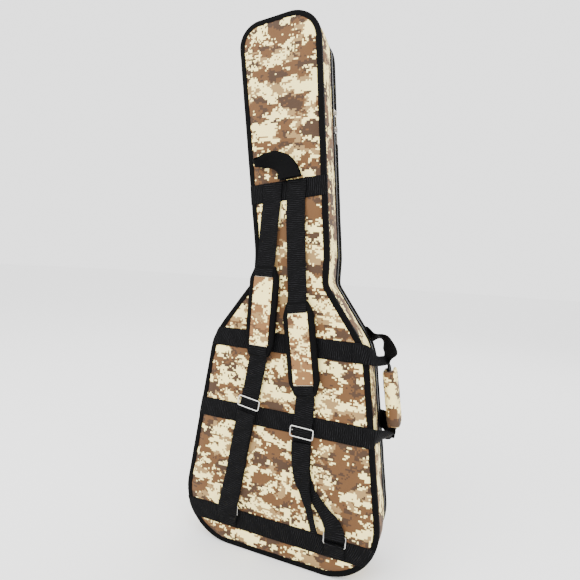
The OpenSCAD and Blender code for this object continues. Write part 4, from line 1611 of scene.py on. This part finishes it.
@dataclass
class CarryHandle:
    """The carry handle on the side: two webbing loops and a padded grip."""

    sizes: BagSizes
    finishes: Finishes
    lean: float = field(init=False)
    mid_x: float = field(init=False)
    mid_z: float = field(init=False)
    near: float = field(init=False)

    def __post_init__(self) -> None:
        """Works out the grip's axis."""
        s = self.sizes
        self.lean = math.atan2((s.bout_w - s.shoulder_w) / 2, s.shoulder_z - s.bout_z) + math.radians(1.5)
        self.mid_z = (s.upper_band_z + s.middle_band_z) / 2 - 8
        self.near = -s.web_t - 0.6
        self.mid_x = s.side_x(self.mid_z) + s.finger_gap + s.grip_t - (self.near - 0.5)

    def at(self, x: float, y: float, z: float) -> Vector:
        """A point on the grip's own axes, in millimetres."""
        c, n = math.cos(self.lean), math.sin(self.lean)
        return point(self.mid_x + x * c - z * n, y, self.mid_z + x * n + z * c)

    def build(self) -> None:
        """Makes both loops, the grip and its flap."""
        s = self.sizes
        self._loop(
            "carry_webbing_back", -1, (s.side_x(s.upper_band_z) - 14, s.upper_band_z),
            (s.side_x(s.middle_band_z) - 6, s.middle_band_z), self.near + s.web_t / 2,
            Piece("back", Slot.WEBBING, ("handle_loop_back",))
        )
        self._loop(
            "carry_webbing_front", 1, (s.side_x(s.front_band_z) - 27, s.front_band_z),
            (s.side_x(s.front_low_z) - 6, s.front_low_z), 0.6 + s.web_t / 2,
            Piece("cover", Slot.WEBBING, ("handle_loop_front",))
        )
        for node, body in (("grip_wrap", "grip"), ("grip_flap", "grip_flap")):
            pad = Sewing.copy_of(node, node + "_padded")
            Stuffing(voxel=0.003, pressure=3, cap=0.0016).fill(pad)
            co = vertices(pad)
            for k in range(len(co)):
                p = Vector(co[k])
                co[k] = p + Vector((1, 0.3, 0)) * (0.0007 * ripple(p, 0.02, 101))
            put_vertices(pad, co)
            Sewing.box_uv(pad)
            Piece(body, Slot.CAMO, (node,)).join(pad, self.finishes)

    def _loop(
        self, name: str, way: int, high: tuple[float, float], low: tuple[float, float], x0: float,
        piece: Piece
    ) -> None:
        """One webbing loop, from a band's end through the grip to the lower band.

        Args:
            name: name of the piece.
            way: -1 for the strap side, 1 for the cover.
            high: x and z of the upper end in millimetres.
            low: x and z of the lower end.
            x0: the webbing's place in the grip.
            piece: how it joins the frame.
        """
        s = self.sizes
        z_axis, y_axis = Vector((0, 0, 1)), Vector((0, 1, 0))
        edge = way * 57.0
        end = s.grip_len / 2
        turned = y_axis * -way
        x_axis = Vector((1, 0, 0))
        top_out, low_out = s.side_x(high[1] - 19) + 3, s.side_x(low[1] - 19) + 3
        stops = [
            (point(high[0] - 14, edge, high[1]), z_axis, 1.0),
            (point(high[0] + 2, edge, high[1]), z_axis, 1.0)
        ]
        if way < 0:
            stops += [
                (point(top_out, edge + 5, high[1] - 4), z_axis + turned * 0.7, 0.85),
                (self.at(x0 - 13, -28, end + 23), turned + z_axis * 0.25, 0.7),
                (self.at(x0 - 3, -8, end + 17), turned, 0.75)
            ]
        else:
            stops += [
                (point(top_out + 1, edge - 8, high[1] + 1), turned + z_axis * 0.35, 0.75),
                (self.at(x0 - 6, 32, end + 44), turned * 0.5 + x_axis * 0.5 + z_axis * 0.6, 0.85),
                (self.at(x0 + 2, 10, end + 24), turned * 0.7 + x_axis * 0.7, 0.95)
            ]
        stops += [
            (self.at(x0, 0, end + 9), turned, 0.9), (self.at(x0, 0, end - 12), turned, 1.0),
            (self.at(x0, 0, 0), turned, 1.0), (self.at(x0, 0, 12 - end), turned, 1.0),
            (self.at(x0, way * 1, -end - 9), turned, 0.9),
            (self.at(x0 - 4, way * 15, -end - 17), turned - z_axis * 0.35, 0.8),
            (point(low_out + 4, edge - way * 14, low[1] + 2), z_axis * -0.8 + turned * 0.6, 0.9),
            (point(low[0] + 2, edge - way * 0.6, low[1]), z_axis * -1, 1.0),
            (point(low[0] - 12, edge, low[1]), z_axis * -1, 1.0)
        ]
        made = Strip(
            name, [(p, d) for p, d, _ in stops], s.web_w - 1, s.web_t, spacing=4,
            widths=[w for *_, w in stops], seed=110 + way
        ).build()
        piece.join(made, self.finishes)


@dataclass
class HangLoop:
    """The folded webbing loop above the neck band."""

    sizes: BagSizes
    finishes: Finishes
    half_gap: float = 6.6

    def build(self) -> None:
        """Makes the loop."""
        s = self.sizes
        route = [
            (point(-8, -66.0, 755), Vector((1, 0, 0.12)), 1.2),
            (point(-10, -66.4, 764), Vector((1, 0, 0.15)), 1.12),
            (point(-20, -67.4, 780), Vector((0.8, -0.15, 0.6)), 1.0),
            (point(-40, -69.2, 789), Vector((0.45, -0.4, 0.8)), 0.86),
            (point(-60, -70.2, 788), Vector((0.1, -0.55, 0.75)), 0.66),
            (point(-76, -70.6, 786), Vector((-0.1, -0.6, 0.72)), 0.4),
        ]
        fronts, backs = [], []
        for k, (p, side, wide) in enumerate(route):
            ahead = (route[min(k + 1, 5)][0] - route[max(k - 1, 0)][0]).normalized()
            side = (side - ahead * side.dot(ahead)).normalized()
            face = side.cross(ahead).normalized()
            face = -face if face.y > 0 else face
            fronts.append((p + face * self.half_gap * MM, side, wide))
            backs.append((p - face * self.half_gap * MM, side, wide))
        tip, side, wide = route[-1]
        ahead = (tip - route[-2][0]).normalized()
        face = (fronts[-1][0] - tip).normalized()
        turn = [
            (tip + (ahead * math.sin(a) - face * math.cos(a)) * self.half_gap * MM, side, wide)
            for a in (0.8, 1.57, 2.34)
        ]
        stops = backs + turn + fronts[::-1]
        made = Strip(
            "hang_loop_webbing", [(p, d) for p, d, _ in stops], s.web_w, s.web_t, spacing=3, wave=0.3,
            widths=[w for *_, w in stops], seed=120
        ).build()
        Piece("hang_loop", Slot.WEBBING, ("hang_loop",)).join(
            made, self.finishes, self.finishes.by_slot[Slot.BINDING]
        )


@dataclass
class ZipMetal:
    """Sliders and pulls, which keep their CAD shape."""

    finishes: Finishes
    nodes: tuple[str, ...] = (
        "zip_slider_upper", "zip_slider_lower", "zip_pull_upper", "zip_pull_lower", "pocket_slider",
        "pocket_pull"
    )

    def build(self) -> None:
        """Dresses the CAD sliders and pulls."""
        for node in self.nodes:
            self.finishes.dress(frame_node(node), Slot.ZIP_METAL)
            LOG.info("%s dressed", node)


@dataclass
class Studio:
    """Camera, floor and lights.

    Attributes:
        place: where the camera is, in metres.
        turn: the camera's turn as an axis times an angle.
        lens: focal length in millimetres.
        sensor: width of the sensor in millimetres.
        floor_reach: half width of the floor in metres.
        floor_drop: how far the floor lies below the bag, in metres.
        daylight: strength of the white surroundings.
        lights: name, place, size in metres and power in watts of each soft light.
    """

    place: tuple[float, float, float] = (0.277, -0.785, 0.571)
    turn: tuple[float, float, float] = (0.0273, 0.3596, 0.0699)
    lens: float = 24.83
    sensor: float = 36.0
    floor_reach: float = 30
    floor_drop: float = 0.0006
    daylight: float = 2.3
    lights: tuple = (
        ("key", (-1.4, -2.4, 2.2), 2.2, 100),
        ("fill", (2.4, -1.6, 1.2), 2.4, 45),
        ("back", (0.4, 2.2, 2.6), 2.4, 30),
    )

    def build(self) -> None:
        """Makes the studio."""
        self._camera()
        self._floor()
        world = bpy.data.worlds.new("studio")
        world.use_nodes = True
        world.node_tree.nodes["Background"].inputs[0].default_value = (1, 1, 1, 1)
        world.node_tree.nodes["Background"].inputs[1].default_value = self.daylight
        bpy.context.scene.world = world
        for light in self.lights:
            self._area(*light)

    def _camera(self) -> None:
        """Places the camera on the strap side, a little to the handle's side."""
        data = bpy.data.cameras.new("camera")
        data.lens, data.sensor_width = self.lens, self.sensor
        data.clip_start = 0.05
        camera = bpy.data.objects.new("camera", data)
        bpy.context.scene.collection.objects.link(camera)
        turned = Matrix.Rotation(Vector(self.turn).length, 3, Vector(self.turn))
        right, down, ahead = turned @ Matrix(((1, 0, 0), (0, 0, -1), (0, 1, 0)))
        axes = Matrix((right, -down, -ahead)).transposed()
        camera.matrix_world = Matrix.Translation(self.place) @ axes.to_4x4()
        bpy.context.scene.camera = camera

    def _floor(self) -> None:
        """Makes the plain pale floor."""
        bm = bmesh.new()
        bmesh.ops.create_grid(bm, x_segments=1, y_segments=1, size=self.floor_reach)
        bmesh.ops.translate(bm, verts=bm.verts, vec=(0, 0, -self.floor_drop))
        floor = Sewing.finish(bm, "floor")
        made, _, shader = new_material("pale floor")
        shader.inputs["Base Color"].default_value = (0.93, 0.93, 0.93, 1)
        shader.inputs["Roughness"].default_value = 0.9
        floor.data.materials.append(made)

    @staticmethod
    def _area(name: str, place: tuple[float, float, float], size: float, power: float) -> None:
        """A soft light that looks at the middle of the bag."""
        data = bpy.data.lights.new(name, "AREA")
        data.energy, data.size = power, size
        light = bpy.data.objects.new(name, data)
        light.location = place
        light.rotation_euler = (Vector((0, 0, 0.5)) - Vector(place)).to_track_quat("-Z", "Y").to_euler()
        bpy.context.scene.collection.objects.link(light)


def straps(finishes: Finishes) -> list[ShoulderStrap]:
    """Both shoulder straps, with the places of their pads, slides, tails and rings."""
    left = ShoulderStrap(
        "left", -45, 707.66, (-47, 585), (-51, 405), (-66, 308),
        [
            (-70, -65.4, 288, 1), (-78, -65.0, 240, 1), (-88, -64.6, 166, 1), (-98, -64.6, 100, 1.1),
            (-100, -64.4, 84, 1.16), (-100, -63.8, 70, 1.16), (-100, -62.4, 62, 1.1)
        ],
        [
            (-69, -60.4, 297, 1), (-78, -58.6, 240, 1), (-88, -58.0, 166, 1), (-98, -57.8, 100, 1),
            (-100, -58.2, 91, 1), (-100, -60.2, 86.6, 1)
        ],
        -100, finishes,
    )
    right = ShoulderStrap(
        "right", 5, 714.06, (23, 520), (52, 341), (49, 270),
        [
            (49, -65.4, 250, 1), (50, -65.4, 222, 0.98), (55, -66.0, 184, 0.86), (64, -66.6, 156, 0.55),
            (74, -66.4, 126, 0.36), (82, -65.0, 98, 0.32), (87, -63.8, 81, 0.36)
        ],
        [
            (49, -60.4, 257, 1), (50, -58.8, 222, 0.98), (56, -58.6, 184, 0.86), (76, -60.4, 156, 0.5),
            (101, -62.6, 129, 0.62), (120, -63.6, 108, 0.9), (126, -64.0, 92, 1.06), (127, -63.8, 80, 1.06)
        ],
        126, finishes,
    )
    return [left, right]


def main() -> None:
    """Builds every sub-assembly over the CAD frame."""
    logging.basicConfig(level=logging.INFO, format="%(message)s")
    FRAME.update(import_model())
    finishes = Finishes()
    Studio().build()
    shell = Shell(SIZES, bag_outline(SIZES), finishes)
    shell.panels()
    shell.walls()
    shell.zips()
    shell.turning_cloth()
    shell.linings()
    shell.bands()
    Pocket(SIZES, finishes).build()
    for strap in straps(finishes):
        strap.build()
    CarryHandle(SIZES, finishes).build()
    HangLoop(SIZES, finishes).build()
    ZipMetal(finishes).build()


if __name__ == "__main__":
    main()
